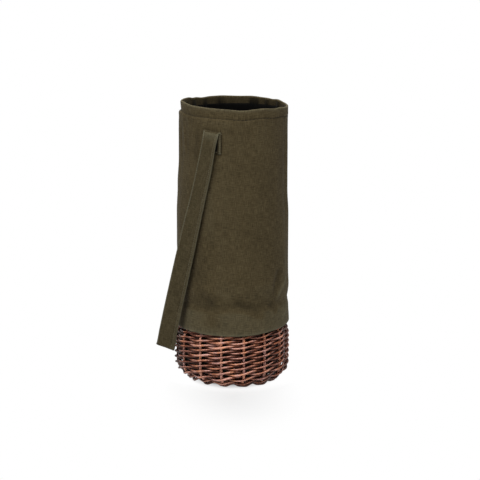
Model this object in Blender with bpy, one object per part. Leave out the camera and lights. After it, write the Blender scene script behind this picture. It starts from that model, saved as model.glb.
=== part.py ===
"""Wine bottle basket: a woven willow foot, an insulated canvas tube above it and a carry strap that swings over the top.

The origin is the middle of the underside, on the basket's axis. +Z is up, the plain front faces -Y, the strap is
sewn on at -X and +X, and at rest it hangs behind the basket, on the +Y side.
"""

import math

import bmesh
import bpy
from mathutils import Vector

MM = 0.001
SHARP_ANGLE = math.radians(40)

# Willow foot
STAKE_COUNT = 15
STAKE_PHASE_DEG = 20
STAKE_DIAMETER = 3.0 * MM
WEAVER_DIAMETER = 2.6 * MM
FOOT_WEAVER_DIAMETER = 3.4 * MM
WILLOW_GAP = 0.3 * MM
WALL_STAKE_RADIUS = 67.6 * MM
HIDDEN_DRAW_IN = 1.8 * MM
CORNER_RADIUS = 14.5 * MM
STAKE_TOP = 99 * MM
STAKE_OVERRUN = 5 * MM
HIDDEN_ROWS = 5
VISIBLE_ROWS = 10
FOOT_PITCH_SHARE = 1.43
ROW_JOIN_GAP = 1.0 * MM
WEAVER_HALF_SIDE_SHARE = 0.9

# Woven base
STICK_WIDTH = 4.2 * MM
STICK_THICKNESS = 3.4 * MM
STICK_CHAMFER = 0.8 * MM
LOWER_STICKS = 5
UPPER_STICKS = 3
RIGHT_FAN_STAKE = -1
BACK_FAN_STAKE = 3
LEFT_FAN_STAKE = 7
FRONT_FAN_STAKES = {-1: 10, 1: 11}
CROSSING_MARGIN = 2.0 * MM
FAN_STAGGER = 2.6 * MM
FAN_RADIUS = 24 * MM
STAKE_INNER_RADIUS = 49.2 * MM
BASE_WEAVER_DIAMETER = 3.0 * MM
BASE_WEAVER_START = 28 * MM
BASE_WEAVER_END = 45.5 * MM
BASE_WEAVER_TURNS = 4

# Canvas cover
TOTAL_HEIGHT = 355 * MM
CANVAS_THICKNESS = 0.9 * MM
BODY_RADIUS = 69.4 * MM
RIM_DRAW_IN = 1.5 * MM
SKIRT_EDGE_RISE = 3.2 * MM
SKIRT_GAP = 0.6 * MM
SKIRT_SHOULDER = 12 * MM
HEM_DEPTH = 13 * MM
HEM_PINCH = 3.0 * MM
FACING_THICKNESS = 0.9 * MM
CLOTH_GAP = 0.3 * MM

# Padding and lining
UPPER_FOAM_THICKNESS = 3.5 * MM
LOWER_FOAM_THICKNESS = 3.0 * MM
SLEEVE_GAP = 0.5 * MM
LINING_THICKNESS = 0.6 * MM
BASE_PAD_THICKNESS = 4.0 * MM
PAD_OVERREACH = 0.4 * MM
FLOOR_MARGIN = 1.0 * MM

# Carry strap
STRAP_WIDTH = 23.5 * MM
STRAP_THICKNESS = 2.4 * MM
PATCH_DROP = 27.8 * MM
PATCH_LENGTH = 25 * MM
PATCH_THICKNESS = 1.4 * MM
STRAP_RUNNING_GAP = 0.4 * MM
STRAP_LEAN_DEG = 13.5
STRAP_REACH = 290 * MM
STRAP_END_OVERRUN = 0.8 * MM
BIGHT_HALF_WIDTH = 61 * MM
BIGHT_CORNER_RADIUS = 7 * MM
BIGHT_SAG = 9 * MM
BIGHT_BACK_GAP = 1.2 * MM
STRAIGHT_REACH = 53 * MM

# Smoothness of the solids
STAKE_SIDES = 6
POINTS_PER_GAP = 2
CLOTH_SEGMENTS = 40
PATCH_SEGMENTS = 6
CORNER_STEPS = 4
BIGHT_STEPS = 10
LEG_STEPS = 8
BIGHT_CORNER_STEPS = 4

# What follows from the sizes above
HIDDEN_STAKE_RADIUS = WALL_STAKE_RADIUS - HIDDEN_DRAW_IN
WEAVE_SWING = (STAKE_DIAMETER + WEAVER_DIAMETER) / 2 + WILLOW_GAP
FOOT_SWING = (STAKE_DIAMETER + FOOT_WEAVER_DIAMETER) / 2 + WILLOW_GAP
BASE_LEVEL = FOOT_SWING + WEAVER_HALF_SIDE_SHARE * FOOT_WEAVER_DIAMETER / 2
BASE_SWING = (STICK_THICKNESS + BASE_WEAVER_DIAMETER) / 2 + WILLOW_GAP
CORNER_TOP = BASE_LEVEL + CORNER_RADIUS
CORNER_CENTRE = WALL_STAKE_RADIUS - CORNER_RADIUS
CORNER_TRAVEL = CORNER_RADIUS * math.pi / 2
STAKE_STEP = 2 * math.pi / STAKE_COUNT
STAKE_PHASE = math.radians(STAKE_PHASE_DEG)
TOP_ROW_HEIGHT = STAKE_TOP - STAKE_OVERRUN
PITCH_SHARES = [1] * (HIDDEN_ROWS - 1)
PITCH_SHARES += [1 + (FOOT_PITCH_SHARE - 1) * k / VISIBLE_ROWS for k in range(VISIBLE_ROWS + 1)]
TOP_ROW_PITCH = (TOP_ROW_HEIGHT - CORNER_TOP + CORNER_TRAVEL) / sum(PITCH_SHARES)
VISIBLE_TOP = TOP_ROW_HEIGHT - HIDDEN_ROWS * TOP_ROW_PITCH

BASE_WEAVE_TOP = BASE_LEVEL + BASE_SWING + BASE_WEAVER_DIAMETER / 2
SLEEVE_BOTTOM = BASE_WEAVE_TOP + CLOTH_GAP
PAD_BOTTOM = SLEEVE_BOTTOM + LINING_THICKNESS + CLOTH_GAP
PAD_TOP = PAD_BOTTOM + BASE_PAD_THICKNESS
FLOOR_BOTTOM = PAD_TOP + CLOTH_GAP
FLOOR_TOP = FLOOR_BOTTOM + LINING_THICKNESS
WALL_BOTTOM = FLOOR_TOP + CLOTH_GAP

SKIRT_EDGE_HEIGHT = VISIBLE_TOP + SKIRT_EDGE_RISE
HEM_BOTTOM = TOTAL_HEIGHT - HEM_DEPTH
RIM_RADIUS = BODY_RADIUS - RIM_DRAW_IN
UPPER_FOAM_RADIUS = BODY_RADIUS - CANVAS_THICKNESS - CLOTH_GAP
UPPER_LINING_RADIUS = UPPER_FOAM_RADIUS - UPPER_FOAM_THICKNESS - CLOTH_GAP
SLEEVE_RADIUS = HIDDEN_STAKE_RADIUS - WEAVE_SWING - WEAVER_DIAMETER / 2 - SLEEVE_GAP
LOWER_FOAM_RADIUS = SLEEVE_RADIUS - LINING_THICKNESS - CLOTH_GAP
LOWER_LINING_RADIUS = LOWER_FOAM_RADIUS - LOWER_FOAM_THICKNESS - CLOTH_GAP
LINING_FLOOR_RADIUS = LOWER_FOAM_RADIUS - FLOOR_MARGIN
BASE_PAD_RADIUS = CORNER_CENTRE + PAD_OVERREACH
SLEEVE_FOOT_RADIUS = BASE_PAD_RADIUS + CLOTH_GAP + LINING_THICKNESS
SHELF_BOTTOM = STAKE_TOP + CLOTH_GAP
SHELF_TOP = SHELF_BOTTOM + LINING_THICKNESS
UPPER_FOAM_BOTTOM = SHELF_TOP + CLOTH_GAP
UPPER_FOAM_TOP = HEM_BOTTOM - HEM_PINCH - CLOTH_GAP
LOWER_FOAM_TOP = SHELF_BOTTOM - CLOTH_GAP
SKIRT_INNER = HIDDEN_STAKE_RADIUS + WEAVE_SWING + WEAVER_DIAMETER / 2 + SKIRT_GAP
FACING_RADIUS = RIM_RADIUS - CANVAS_THICKNESS - CLOTH_GAP

STRAP_LEAN = math.radians(STRAP_LEAN_DEG)
PATCH_TOP = TOTAL_HEIGHT - PATCH_DROP
PATCH_BOTTOM = PATCH_TOP - PATCH_LENGTH
PATCH_INNER = BODY_RADIUS + CLOTH_GAP
PATCH_OUTER = PATCH_INNER + PATCH_THICKNESS
SWING_HEIGHT = PATCH_TOP
LEG_OFFSET = PATCH_OUTER + STRAP_RUNNING_GAP + STRAP_THICKNESS / 2
LEG_TURN = STRAP_REACH - 2 * BIGHT_CORNER_RADIUS


def clear_scene():
    for item in list(bpy.data.objects):
        bpy.data.objects.remove(item, do_unlink=True)


def make_material(name, colour, roughness):
    material = bpy.data.materials.new(name)
    material.use_nodes = True
    shader = material.node_tree.nodes["Principled BSDF"]
    shader.inputs["Base Color"].default_value = (*colour, 1)
    shader.inputs["Roughness"].default_value = roughness
    shader.inputs["Metallic"].default_value = 0
    return material


def add_object(name, mesh_data, material, parent=None):
    mesh = bpy.data.meshes.new(name)
    mesh_data.normal_update()
    bmesh.ops.recalc_face_normals(mesh_data, faces=mesh_data.faces)
    mesh_data.to_mesh(mesh)
    mesh_data.free()
    mesh.materials.append(material)
    mesh.shade_smooth()
    mesh.set_sharp_from_angle(angle=SHARP_ANGLE)
    piece = bpy.data.objects.new(name, mesh)
    bpy.context.scene.collection.objects.link(piece)
    if parent is not None:
        piece.parent = parent
        piece.matrix_parent_inverse = parent.matrix_world.inverted()
    return piece


def add_empty(name, location):
    empty = bpy.data.objects.new(name, None)
    empty.location = location
    bpy.context.scene.collection.objects.link(empty)
    bpy.context.view_layer.update()
    return empty


def sweep(path, outline, outward):
    """A closed bar whose outline is carried along the path; outward(i, point) gives the outline's first axis."""
    mesh_data = bmesh.new()
    rings = []
    last = len(path) - 1
    for i, point in enumerate(path):
        along = (path[min(i + 1, last)] - path[max(i - 1, 0)]).normalized()
        first = outward(i, point)
        first = (first - along * first.dot(along)).normalized()
        second = along.cross(first)
        rings.append([mesh_data.verts.new(point + first * u + second * v) for u, v in outline])
    for near, far in zip(rings, rings[1:]):
        for k in range(len(outline)):
            n = (k + 1) % len(outline)
            mesh_data.faces.new((near[k], near[n], far[n], far[k]))
    mesh_data.faces.new(rings[0][::-1])
    mesh_data.faces.new(rings[-1])
    return mesh_data


def turned(profile, segments):
    """A ring or a disc: the closed (radius, height) profile turned round the axis. A radius of 0 closes on the axis."""
    mesh_data = bmesh.new()
    rings = []
    for radius, height in profile:
        if radius == 0:
            rings.append([mesh_data.verts.new((0, 0, height))])
            continue
        rings.append(
            [
                mesh_data.verts.new((radius * math.cos(turn), radius * math.sin(turn), height))
                for turn in (2 * math.pi * k / segments for k in range(segments))
            ]
        )
    for near, far in zip(rings, rings[1:] + rings[:1]):
        for k in range(segments):
            n = (k + 1) % segments
            if len(near) == 1 and len(far) == 1:
                continue
            if len(near) == 1:
                mesh_data.faces.new((near[0], far[n], far[k]))
            elif len(far) == 1:
                mesh_data.faces.new((near[k], near[n], far[0]))
            else:
                mesh_data.faces.new((near[k], near[n], far[n], far[k]))
    return mesh_data


def square_outline(half):
    return [(half, -half), (half, half), (-half, half), (-half, -half)]


def round_outline(radius, sides):
    step = 2 * math.pi / sides
    return [(radius * math.cos(k * step), radius * math.sin(k * step)) for k in range(sides)]


def chamfered_outline(height, width, chamfer):
    h = height / 2
    w = width / 2
    return [
        (-h, -w + chamfer),
        (-h, w - chamfer),
        (-h + chamfer, w),
        (h - chamfer, w),
        (h, w - chamfer),
        (h, -w + chamfer),
        (h - chamfer, -w),
        (-h + chamfer, -w),
    ]


def on_circle(radius, turn, height):
    return Vector((radius * math.cos(turn), radius * math.sin(turn), height))


def ease(share):
    share = min(max(share, 0), 1)
    return share * share * (3 - 2 * share)


def stake_radius_at(height):
    """The stakes stand upright and draw in a little where the canvas grips them."""
    drawn_in = ease((height - VISIBLE_TOP + TOP_ROW_PITCH / 2) / TOP_ROW_PITCH)
    return WALL_STAKE_RADIUS + (HIDDEN_STAKE_RADIUS - WALL_STAKE_RADIUS) * drawn_in


def wall_at(travel):
    """The stakes' curve: travel is measured up the stake from where its bottom bend ends.

    Returns the radius, the height and the outward direction in the (radius, height) plane.
    """
    if travel >= 0:
        height = CORNER_TOP + travel
        return stake_radius_at(height), height, (1, 0)
    if travel >= -CORNER_TRAVEL:
        bend = travel / CORNER_RADIUS
        out = (math.cos(bend), math.sin(bend))
        return CORNER_CENTRE + CORNER_RADIUS * out[0], CORNER_TOP + CORNER_RADIUS * out[1], out
    return CORNER_CENTRE + travel + CORNER_TRAVEL, BASE_LEVEL, (0, -1)


def row_travels():
    """Where each row lies on the stakes' curve, from the foot row up; the rows close up as they rise."""
    travels = [TOP_ROW_HEIGHT - CORNER_TOP]
    for share in PITCH_SHARES:
        travels.append(travels[-1] - share * TOP_ROW_PITCH)
    return travels[::-1]


def pairing_row(name, travel, pitch, swing, diameter, material):
    """One round of pairing: a single rod that goes round twice, in front of one stake and behind the next."""
    half = WEAVER_HALF_SIDE_SHARE * diameter / 2
    rise = (pitch - diameter - WILLOW_GAP) / 2
    steps = 2 * STAKE_COUNT * POINTS_PER_GAP
    start = STAKE_PHASE + STAKE_STEP
    path = []
    for i in range(steps + 1):
        turn = start + i * STAKE_STEP / POINTS_PER_GAP
        wave = math.pi * (1 + i / POINTS_PER_GAP)
        radius, height, out = wall_at(travel + rise * math.sin(wave))
        reach = swing * math.cos(wave)
        path.append(on_circle(radius + reach * out[0], turn, height + reach * out[1]))
    path[0] += (path[1] - path[0]).normalized() * ROW_JOIN_GAP / 2
    path[-1] += (path[-2] - path[-1]).normalized() * ROW_JOIN_GAP / 2
    out = wall_at(travel)[2]

    def outward(_, point):
        turn = math.atan2(point.y, point.x)
        return Vector((out[0] * math.cos(turn), out[0] * math.sin(turn), out[1]))

    return add_object(name, sweep(path, square_outline(half), outward), material)


def willow_wall(material):
    """The thick foot row and the rows above it, each as steep as the gap to the row above allows."""
    travels = row_travels()
    pitches = [above - travel for travel, above in zip(travels, travels[1:])] + [TOP_ROW_PITCH]
    pairing_row("foot_row", travels[0], pitches[0], FOOT_SWING, FOOT_WEAVER_DIAMETER, material)
    for k in range(1, len(travels)):
        pairing_row(f"weave_row_{k:02d}", travels[k], pitches[k], WEAVE_SWING, WEAVER_DIAMETER, material)


def stakes(material):
    lean_start = VISIBLE_TOP - TOP_ROW_PITCH / 2
    radii_heights = [(STAKE_INNER_RADIUS, BASE_LEVEL)]
    for k in range(CORNER_STEPS + 1):
        radii_heights.append(wall_at(-CORNER_TRAVEL * (1 - k / CORNER_STEPS))[:2])
    for height in (lean_start, VISIBLE_TOP, lean_start + TOP_ROW_PITCH, STAKE_TOP):
        radii_heights.append((stake_radius_at(height), height))
    outline = round_outline(STAKE_DIAMETER / 2, STAKE_SIDES)
    for k in range(STAKE_COUNT):
        turn = STAKE_PHASE + k * STAKE_STEP
        path = [on_circle(radius, turn, height) for radius, height in radii_heights]
        side = Vector((-math.sin(turn), math.cos(turn), 0))
        add_object(f"stake_{k + 1:02d}", sweep(path, outline, lambda i, point: side), material)


def base_sticks(material):
    """Five sticks lie one way and three across them; their ends fan out to meet the fifteen stakes."""
    outline = chamfered_outline(STICK_THICKNESS, STICK_WIDTH, STICK_CHAMFER)
    spacing = STICK_WIDTH + WILLOW_GAP
    reach = STAKE_INNER_RADIUS - WILLOW_GAP
    lower_level = STICK_THICKNESS / 2
    upper_level = lower_level + STICK_THICKNESS + WILLOW_GAP
    lower_half = UPPER_STICKS / 2 * spacing + CROSSING_MARGIN
    upper_half = LOWER_STICKS / 2 * spacing + CROSSING_MARGIN
    up = Vector((0, 0, 1))

    def fan(stake):
        turn = STAKE_PHASE + stake * STAKE_STEP
        return [on_circle(FAN_RADIUS, turn, BASE_LEVEL), on_circle(reach, turn, BASE_LEVEL)]

    middle = LOWER_STICKS // 2
    for k in range(LOWER_STICKS):
        place = k - middle
        bend = lower_half + (middle - abs(place)) * FAN_STAGGER
        path = fan(LEFT_FAN_STAKE - place)[::-1]
        path += [Vector((x, place * spacing, lower_level)) for x in (-bend, bend)]
        path += fan(RIGHT_FAN_STAKE + place)
        add_object(f"base_stick_{k + 1}", sweep(path, outline, lambda i, point: up), material)
    middle = UPPER_STICKS // 2
    for k in range(UPPER_STICKS):
        place = k - middle
        bend = upper_half + (middle - abs(place)) * FAN_STAGGER
        path = fan(BACK_FAN_STAKE - place)[::-1]
        path += [Vector((place * spacing, y, upper_level)) for y in (bend, -bend)]
        if place in FRONT_FAN_STAKES:
            path += fan(FRONT_FAN_STAKES[place])
        else:
            path[-1].y = -upper_half
        add_object(f"base_stick_{LOWER_STICKS + k + 1}", sweep(path, outline, lambda i, point: up), material)


def base_weaver(material):
    """One rod spirals out over and under the fanned sticks, whose odd number changes its side each turn."""
    crossings = BASE_WEAVER_TURNS * STAKE_COUNT
    path = []
    for i in range(crossings + 1):
        turn = STAKE_PHASE + i * STAKE_STEP
        radius = BASE_WEAVER_START + (BASE_WEAVER_END - BASE_WEAVER_START) * i / crossings
        level = BASE_LEVEL + BASE_SWING * (-1) ** i
        half_turn = STICK_WIDTH / 2 / radius
        path += [on_circle(radius, turn - half_turn, level), on_circle(radius, turn + half_turn, level)]
    half = WEAVER_HALF_SIDE_SHARE * BASE_WEAVER_DIAMETER / 2
    up = Vector((0, 0, 1))
    add_object("base_weaver", sweep(path, square_outline(half), lambda i, point: up), material)


def tube_profile(outer, inner, bottom, top):
    return [(outer, top), (outer, bottom), (inner, bottom), (inner, top)]


def canvas_shell(material):
    """The outer cloth: a skirt over the willow, the straight body and the hem, turned in over the rim."""
    skirt_top = STAKE_TOP + CLOTH_GAP
    outer = [
        (RIM_RADIUS, TOTAL_HEIGHT),
        (RIM_RADIUS, HEM_BOTTOM),
        (BODY_RADIUS, HEM_BOTTOM - HEM_PINCH),
        (BODY_RADIUS, skirt_top + SKIRT_SHOULDER),
        (SKIRT_INNER + CANVAS_THICKNESS, skirt_top),
        (SKIRT_INNER + CANVAS_THICKNESS, SKIRT_EDGE_HEIGHT),
    ]
    lip = FACING_RADIUS - FACING_THICKNESS
    inner = [(radius - CANVAS_THICKNESS, height) for radius, height in outer[:0:-1]]
    inner += [(RIM_RADIUS - CANVAS_THICKNESS, TOTAL_HEIGHT - CANVAS_THICKNESS), (lip, TOTAL_HEIGHT - CANVAS_THICKNESS)]
    add_object("canvas_shell", turned(outer + inner + [(lip, TOTAL_HEIGHT)], CLOTH_SEGMENTS), material)
    facing_top = TOTAL_HEIGHT - CANVAS_THICKNESS - CLOTH_GAP
    facing = tube_profile(FACING_RADIUS, FACING_RADIUS - FACING_THICKNESS, HEM_BOTTOM, facing_top)
    add_object("rim_facing", turned(facing, CLOTH_SEGMENTS), material)


def padding(material):
    upper = tube_profile(
        UPPER_FOAM_RADIUS, UPPER_FOAM_RADIUS - UPPER_FOAM_THICKNESS, UPPER_FOAM_BOTTOM, UPPER_FOAM_TOP
    )
    lower = tube_profile(LOWER_FOAM_RADIUS, LOWER_FOAM_RADIUS - LOWER_FOAM_THICKNESS, WALL_BOTTOM, LOWER_FOAM_TOP)
    pad = [(0, PAD_TOP), (BASE_PAD_RADIUS, PAD_TOP), (BASE_PAD_RADIUS, PAD_BOTTOM), (0, PAD_BOTTOM)]
    add_object("upper_foam", turned(upper, CLOTH_SEGMENTS), material)
    add_object("lower_foam", turned(lower, CLOTH_SEGMENTS), material)
    add_object("base_pad", turned(pad, CLOTH_SEGMENTS), material)


def lining(material):
    """The inner cloth steps in over the top of the willow, so the padded wall passes down inside the weave."""
    wall = [
        (UPPER_LINING_RADIUS, HEM_BOTTOM - CLOTH_GAP),
        (UPPER_LINING_RADIUS, SHELF_TOP),
        (HIDDEN_STAKE_RADIUS, SHELF_TOP),
        (HIDDEN_STAKE_RADIUS, SHELF_BOTTOM),
        (LOWER_LINING_RADIUS, SHELF_BOTTOM),
        (LOWER_LINING_RADIUS, WALL_BOTTOM),
        (LOWER_LINING_RADIUS - LINING_THICKNESS, WALL_BOTTOM),
        (LOWER_LINING_RADIUS - LINING_THICKNESS, SHELF_TOP),
        (UPPER_LINING_RADIUS - LINING_THICKNESS, SHELF_TOP),
        (UPPER_LINING_RADIUS - LINING_THICKNESS, HEM_BOTTOM - CLOTH_GAP),
    ]
    floor = [
        (0, FLOOR_TOP),
        (LINING_FLOOR_RADIUS, FLOOR_TOP),
        (LINING_FLOOR_RADIUS, FLOOR_BOTTOM),
        (0, FLOOR_BOTTOM),
    ]
    add_object("lining_wall", turned(wall, CLOTH_SEGMENTS), material)
    add_object("lining_floor", turned(floor, CLOTH_SEGMENTS), material)


def liner_sleeve(material):
    """The cup of cloth round the padding inside the willow; it shows dark through the weave."""
    outer = [(SLEEVE_RADIUS, LOWER_FOAM_TOP), (SLEEVE_RADIUS, WALL_BOTTOM), (SLEEVE_FOOT_RADIUS, SLEEVE_BOTTOM)]
    inner_bottom = SLEEVE_BOTTOM + LINING_THICKNESS
    inner = [(0, inner_bottom), (SLEEVE_FOOT_RADIUS - LINING_THICKNESS, inner_bottom)]
    inner += [(radius - LINING_THICKNESS, height) for radius, height in outer[1::-1]]
    add_object("liner_sleeve", turned(outer + [(0, SLEEVE_BOTTOM)] + inner, CLOTH_SEGMENTS), material)


def strap_end(name, turn, material):
    """The strap's sewn end: a short patch that lies on the canvas."""
    half_turn = STRAP_WIDTH / 2 / PATCH_INNER
    mesh_data = bmesh.new()
    rings = []
    for k in range(PATCH_SEGMENTS + 1):
        angle = turn + half_turn * (2 * k / PATCH_SEGMENTS - 1)
        corners = (
            (PATCH_OUTER, PATCH_TOP),
            (PATCH_OUTER, PATCH_BOTTOM),
            (PATCH_INNER, PATCH_BOTTOM),
            (PATCH_INNER, PATCH_TOP),
        )
        rings.append([mesh_data.verts.new(on_circle(radius, angle, height)) for radius, height in corners])
    for near, far in zip(rings, rings[1:]):
        for k in range(len(near)):
            n = (k + 1) % len(near)
            mesh_data.faces.new((near[k], near[n], far[n], far[k]))
    mesh_data.faces.new(rings[0][::-1])
    mesh_data.faces.new(rings[-1])
    add_object(name, mesh_data, material)


def strap_path():
    """Half of the strap loop as (side, reach, bulge): across the basket, down the lean, and away from its back."""
    corner_turn = math.pi / 2 - math.atan(2 * BIGHT_SAG / BIGHT_HALF_WIDTH)
    leg_end = STRAP_REACH - BIGHT_CORNER_RADIUS * math.sin(corner_turn)
    points = []
    for k in range(LEG_STEPS + 1):
        reach = -STRAP_END_OVERRUN + (leg_end + STRAP_END_OVERRUN) * k / LEG_STEPS
        drawn_in = (max(reach - STRAIGHT_REACH, 0) / (leg_end - STRAIGHT_REACH)) ** 2
        points.append((LEG_OFFSET + (BIGHT_HALF_WIDTH - LEG_OFFSET) * drawn_in, reach))
    for k in range(1, BIGHT_CORNER_STEPS + 1):
        bend = corner_turn * k / BIGHT_CORNER_STEPS
        points.append(
            (
                BIGHT_HALF_WIDTH - BIGHT_CORNER_RADIUS * (1 - math.cos(bend)),
                leg_end + BIGHT_CORNER_RADIUS * math.sin(bend),
            )
        )
    side, reach = points[-1]
    for k in range(1, BIGHT_STEPS + 1):
        across = 1 - k / BIGHT_STEPS
        points.append((side * across, reach + BIGHT_SAG * (1 - across * across)))
    return points


def bight_bulge(side):
    """How far the loop's lower end stands back, so that it passes behind the willow."""
    behind = WALL_STAKE_RADIUS + WEAVE_SWING + WEAVER_DIAMETER / 2 + BIGHT_BACK_GAP
    loop_middle = STRAP_REACH + BIGHT_SAG
    centre = behind / math.cos(STRAP_LEAN) + STRAP_WIDTH / 2 - loop_middle * math.tan(STRAP_LEAN)
    return centre * max(1 - (side / BIGHT_HALF_WIDTH) ** 2, 0)


def strap_loop(material):
    """The moving strap: two flat legs and a lower end that reaches round behind the basket."""
    down = Vector((0, math.sin(STRAP_LEAN), -math.cos(STRAP_LEAN)))
    back = Vector((0, math.cos(STRAP_LEAN), math.sin(STRAP_LEAN)))
    pivot = Vector((0, 0, SWING_HEIGHT))
    half = strap_path()
    legs = [(-side, reach) for side, reach in half] + half[-2::-1]
    path = [
        pivot + Vector((side, 0, 0)) + down * reach + back * (bight_bulge(side) if reach > LEG_TURN else 0)
        for side, reach in legs
    ]
    w = STRAP_WIDTH / 2
    t = STRAP_THICKNESS / 2
    outline = [(w, -t), (w, t), (-w, t), (-w, -t)]
    hinge = add_empty("strap_hinge", pivot)
    add_object("strap_loop", sweep(path, outline, lambda i, point: back), material, hinge)


def main():
    clear_scene()
    willow = make_material("stained_willow", (0.095, 0.042, 0.030), 0.42)
    canvas = make_material("olive_canvas", (0.062, 0.048, 0.026), 0.93)
    black = make_material("black_lining", (0.012, 0.012, 0.012), 0.7)
    foam = make_material("white_foam", (0.72, 0.72, 0.7), 0.9)
    webbing = make_material("olive_strap", (0.066, 0.053, 0.029), 0.9)
    willow_wall(willow)
    stakes(willow)
    base_sticks(willow)
    base_weaver(willow)
    canvas_shell(canvas)
    padding(foam)
    lining(black)
    liner_sleeve(black)
    strap_end("strap_end_left", math.pi, webbing)
    strap_end("strap_end_right", 0, webbing)
    strap_loop(webbing)


main()
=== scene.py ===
"""Looks of the wine bottle basket: willow foot, olive canvas over padding, black lining and sewn strap."""
import math

import bmesh
import bpy
import numpy as np
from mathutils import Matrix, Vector


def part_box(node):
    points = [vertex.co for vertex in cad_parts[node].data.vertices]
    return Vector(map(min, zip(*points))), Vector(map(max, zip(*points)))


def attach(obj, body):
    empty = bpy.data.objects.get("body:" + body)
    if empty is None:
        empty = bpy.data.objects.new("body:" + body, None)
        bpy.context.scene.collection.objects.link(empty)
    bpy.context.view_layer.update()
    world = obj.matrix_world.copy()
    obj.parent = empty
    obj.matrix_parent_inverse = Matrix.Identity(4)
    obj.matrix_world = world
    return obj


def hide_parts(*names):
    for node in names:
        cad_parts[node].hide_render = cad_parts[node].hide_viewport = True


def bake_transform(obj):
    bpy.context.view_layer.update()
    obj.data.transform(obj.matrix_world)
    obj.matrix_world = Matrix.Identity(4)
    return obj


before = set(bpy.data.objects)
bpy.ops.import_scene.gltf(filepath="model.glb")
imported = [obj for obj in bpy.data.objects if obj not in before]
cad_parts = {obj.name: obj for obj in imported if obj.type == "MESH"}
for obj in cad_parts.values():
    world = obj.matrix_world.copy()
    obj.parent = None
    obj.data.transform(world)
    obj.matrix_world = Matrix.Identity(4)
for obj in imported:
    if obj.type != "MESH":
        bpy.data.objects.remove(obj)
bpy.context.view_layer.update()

MM = 0.001

# Willow wall: the rods follow the same curve as the solids
STAKE_COUNT = 15
STAKE_PHASE = math.radians(20)
STAKE_RADIUS = 1.5 * MM
STAKE_FULLNESS = 1.06
STAKE_SWELL_SHARE = 0.05
STAKE_STAND_OUT = 0.25 * MM
STAKE_OVERRUN = 5 * MM
WEAVER_RADIUS = 1.38 * MM
FOOT_WEAVER_RADIUS = 1.75 * MM
SOLID_FOOT_WEAVER_RADIUS = 1.7 * MM
WEAVER_HALF_SIDE_SHARE = 0.9
WILLOW_GAP = 0.22 * MM
WALL_STAKE_RADIUS = 67.6 * MM
HIDDEN_STAKE_RADIUS = 65.8 * MM
CORNER_RADIUS = 14.5 * MM
HIDDEN_ROWS = 5
VISIBLE_ROWS = 10
FOOT_PITCH_SHARE = 1.43
STRAND_STEPS = 14
STRAND_BEND_SHARE = 0.96
ROD_SIDES = 10
ROD_DOME = 0.55
ROD_END_GAP = 1.0 * MM
ROD_WOBBLE = 0.16 * MM
ROD_SWELL_SHARE = 0.07

# How the wall and its foot round depart from a plain round; azimuths are in degrees from the viewing side
BARREL_OUT = 0.5 * MM
BARREL_START = 4 * MM
BARREL_RISE = 22 * MM
BARREL_TOP = 56 * MM
BARREL_FALL = 14 * MM
WALL_LEAN = 3.4 * MM
WALL_LEAN_AZIMUTH = -70
WALL_LEAN_WIDTH = 26
FOOT_LIFT = 1.5 * MM
FOOT_LIFT_AZIMUTH = -46
FOOT_LIFT_WIDTH = 24
FOOT_LIFT_HEIGHT = 32 * MM
FOOT_LIFT_RADIUS = 49 * MM
FOOT_LIFT_FADE = 5 * MM
FOOT_SCALLOP = 1.2 * MM
FOOT_SPREAD = 2.0 * MM
FOOT_CREST = 1.8 * MM
FOOT_LOPSIDED = 3.2 * MM
FOOT_LOPSIDED_AZIMUTH = 34
FOOT_LOPSIDED_WIDTH = 28

# Tones of the willow, where 0.5 is the stain's middle colour
ROW_TONE = 0.34
ROW_TONE_SPREAD = 0.07
ROW_SLOW_TONE = 0.1
ROW_QUICK_TONE = 0.07
# Wear and painted shade: a strand is paler where it passes in front of a stake and darker where it passes
# behind
ROW_FRONT_WEAR_AND_SHADE_TONE = 0.28
# Stakes are painted pale, painted light that makes up for the shade the rods throw on them
STAKE_PAINTED_LIGHT_TONE = 1.2
STAKE_TONE_SPREAD = 0.08
STAKE_BAND_TONE = 0.1
STAKE_BAND = 9 * MM
STAKE_PAINTED_LIGHT_SHARE = 1.5
STICK_TONE = 0.6
STICK_TONE_SPREAD = 0.1
BASE_WEAVER_TONE = 0.55
BASE_WEAVER_TONE_SPREAD = 0.12
# Painted highlight along each rod's upper outer side, and painted shade round the rest
PAINTED_HIGHLIGHT_TONE = 0.5
PAINTED_HIGHLIGHT_TURN = -0.7
PAINTED_HIGHLIGHT_WIDTH = 0.42
PAINTED_HIGHLIGHT_MEAN = 0.25
# Painted light by azimuth: a pale band on the viewing side and painted shade at its left and right
PAINTED_LIGHT_BAND_TONE = 0.26
PAINTED_LIGHT_BAND_AZIMUTH = -12
PAINTED_LIGHT_BAND_WIDTH = 32
PAINTED_LIGHT_BAND_MEAN = 0.45
PAINTED_SIDE_SHADE_TONE = 0.3
PAINTED_SIDE_SHADE_AZIMUTH = 82
PAINTED_SIDE_SHADE_WIDTH = 18

# Woven base
STICK_WIDTH = 4.2 * MM
STICK_THICKNESS = 3.4 * MM
STICK_SIDES = 14
STICK_ROUNDNESS = 0.55
STICK_BEND = 2.5 * MM
LOWER_STICKS = 5
UPPER_STICKS = 3
RIGHT_FAN_STAKE = -1
BACK_FAN_STAKE = 3
LEFT_FAN_STAKE = 7
FRONT_FAN_STAKES = {-1: 10, 1: 11}
CROSSING_MARGIN = 2.0 * MM
FAN_STAGGER = 2.6 * MM
FAN_RADIUS = 24 * MM
STAKE_INNER_RADIUS = 49.2 * MM
BASE_WEAVER_RADIUS = 1.5 * MM
BASE_WEAVER_START = 28 * MM
BASE_WEAVER_END = 45.5 * MM
BASE_WEAVER_TURNS = 4
BASE_WEAVER_BEND = 1.6 * MM
BASE_WEAVER_SIDES = 8

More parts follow.
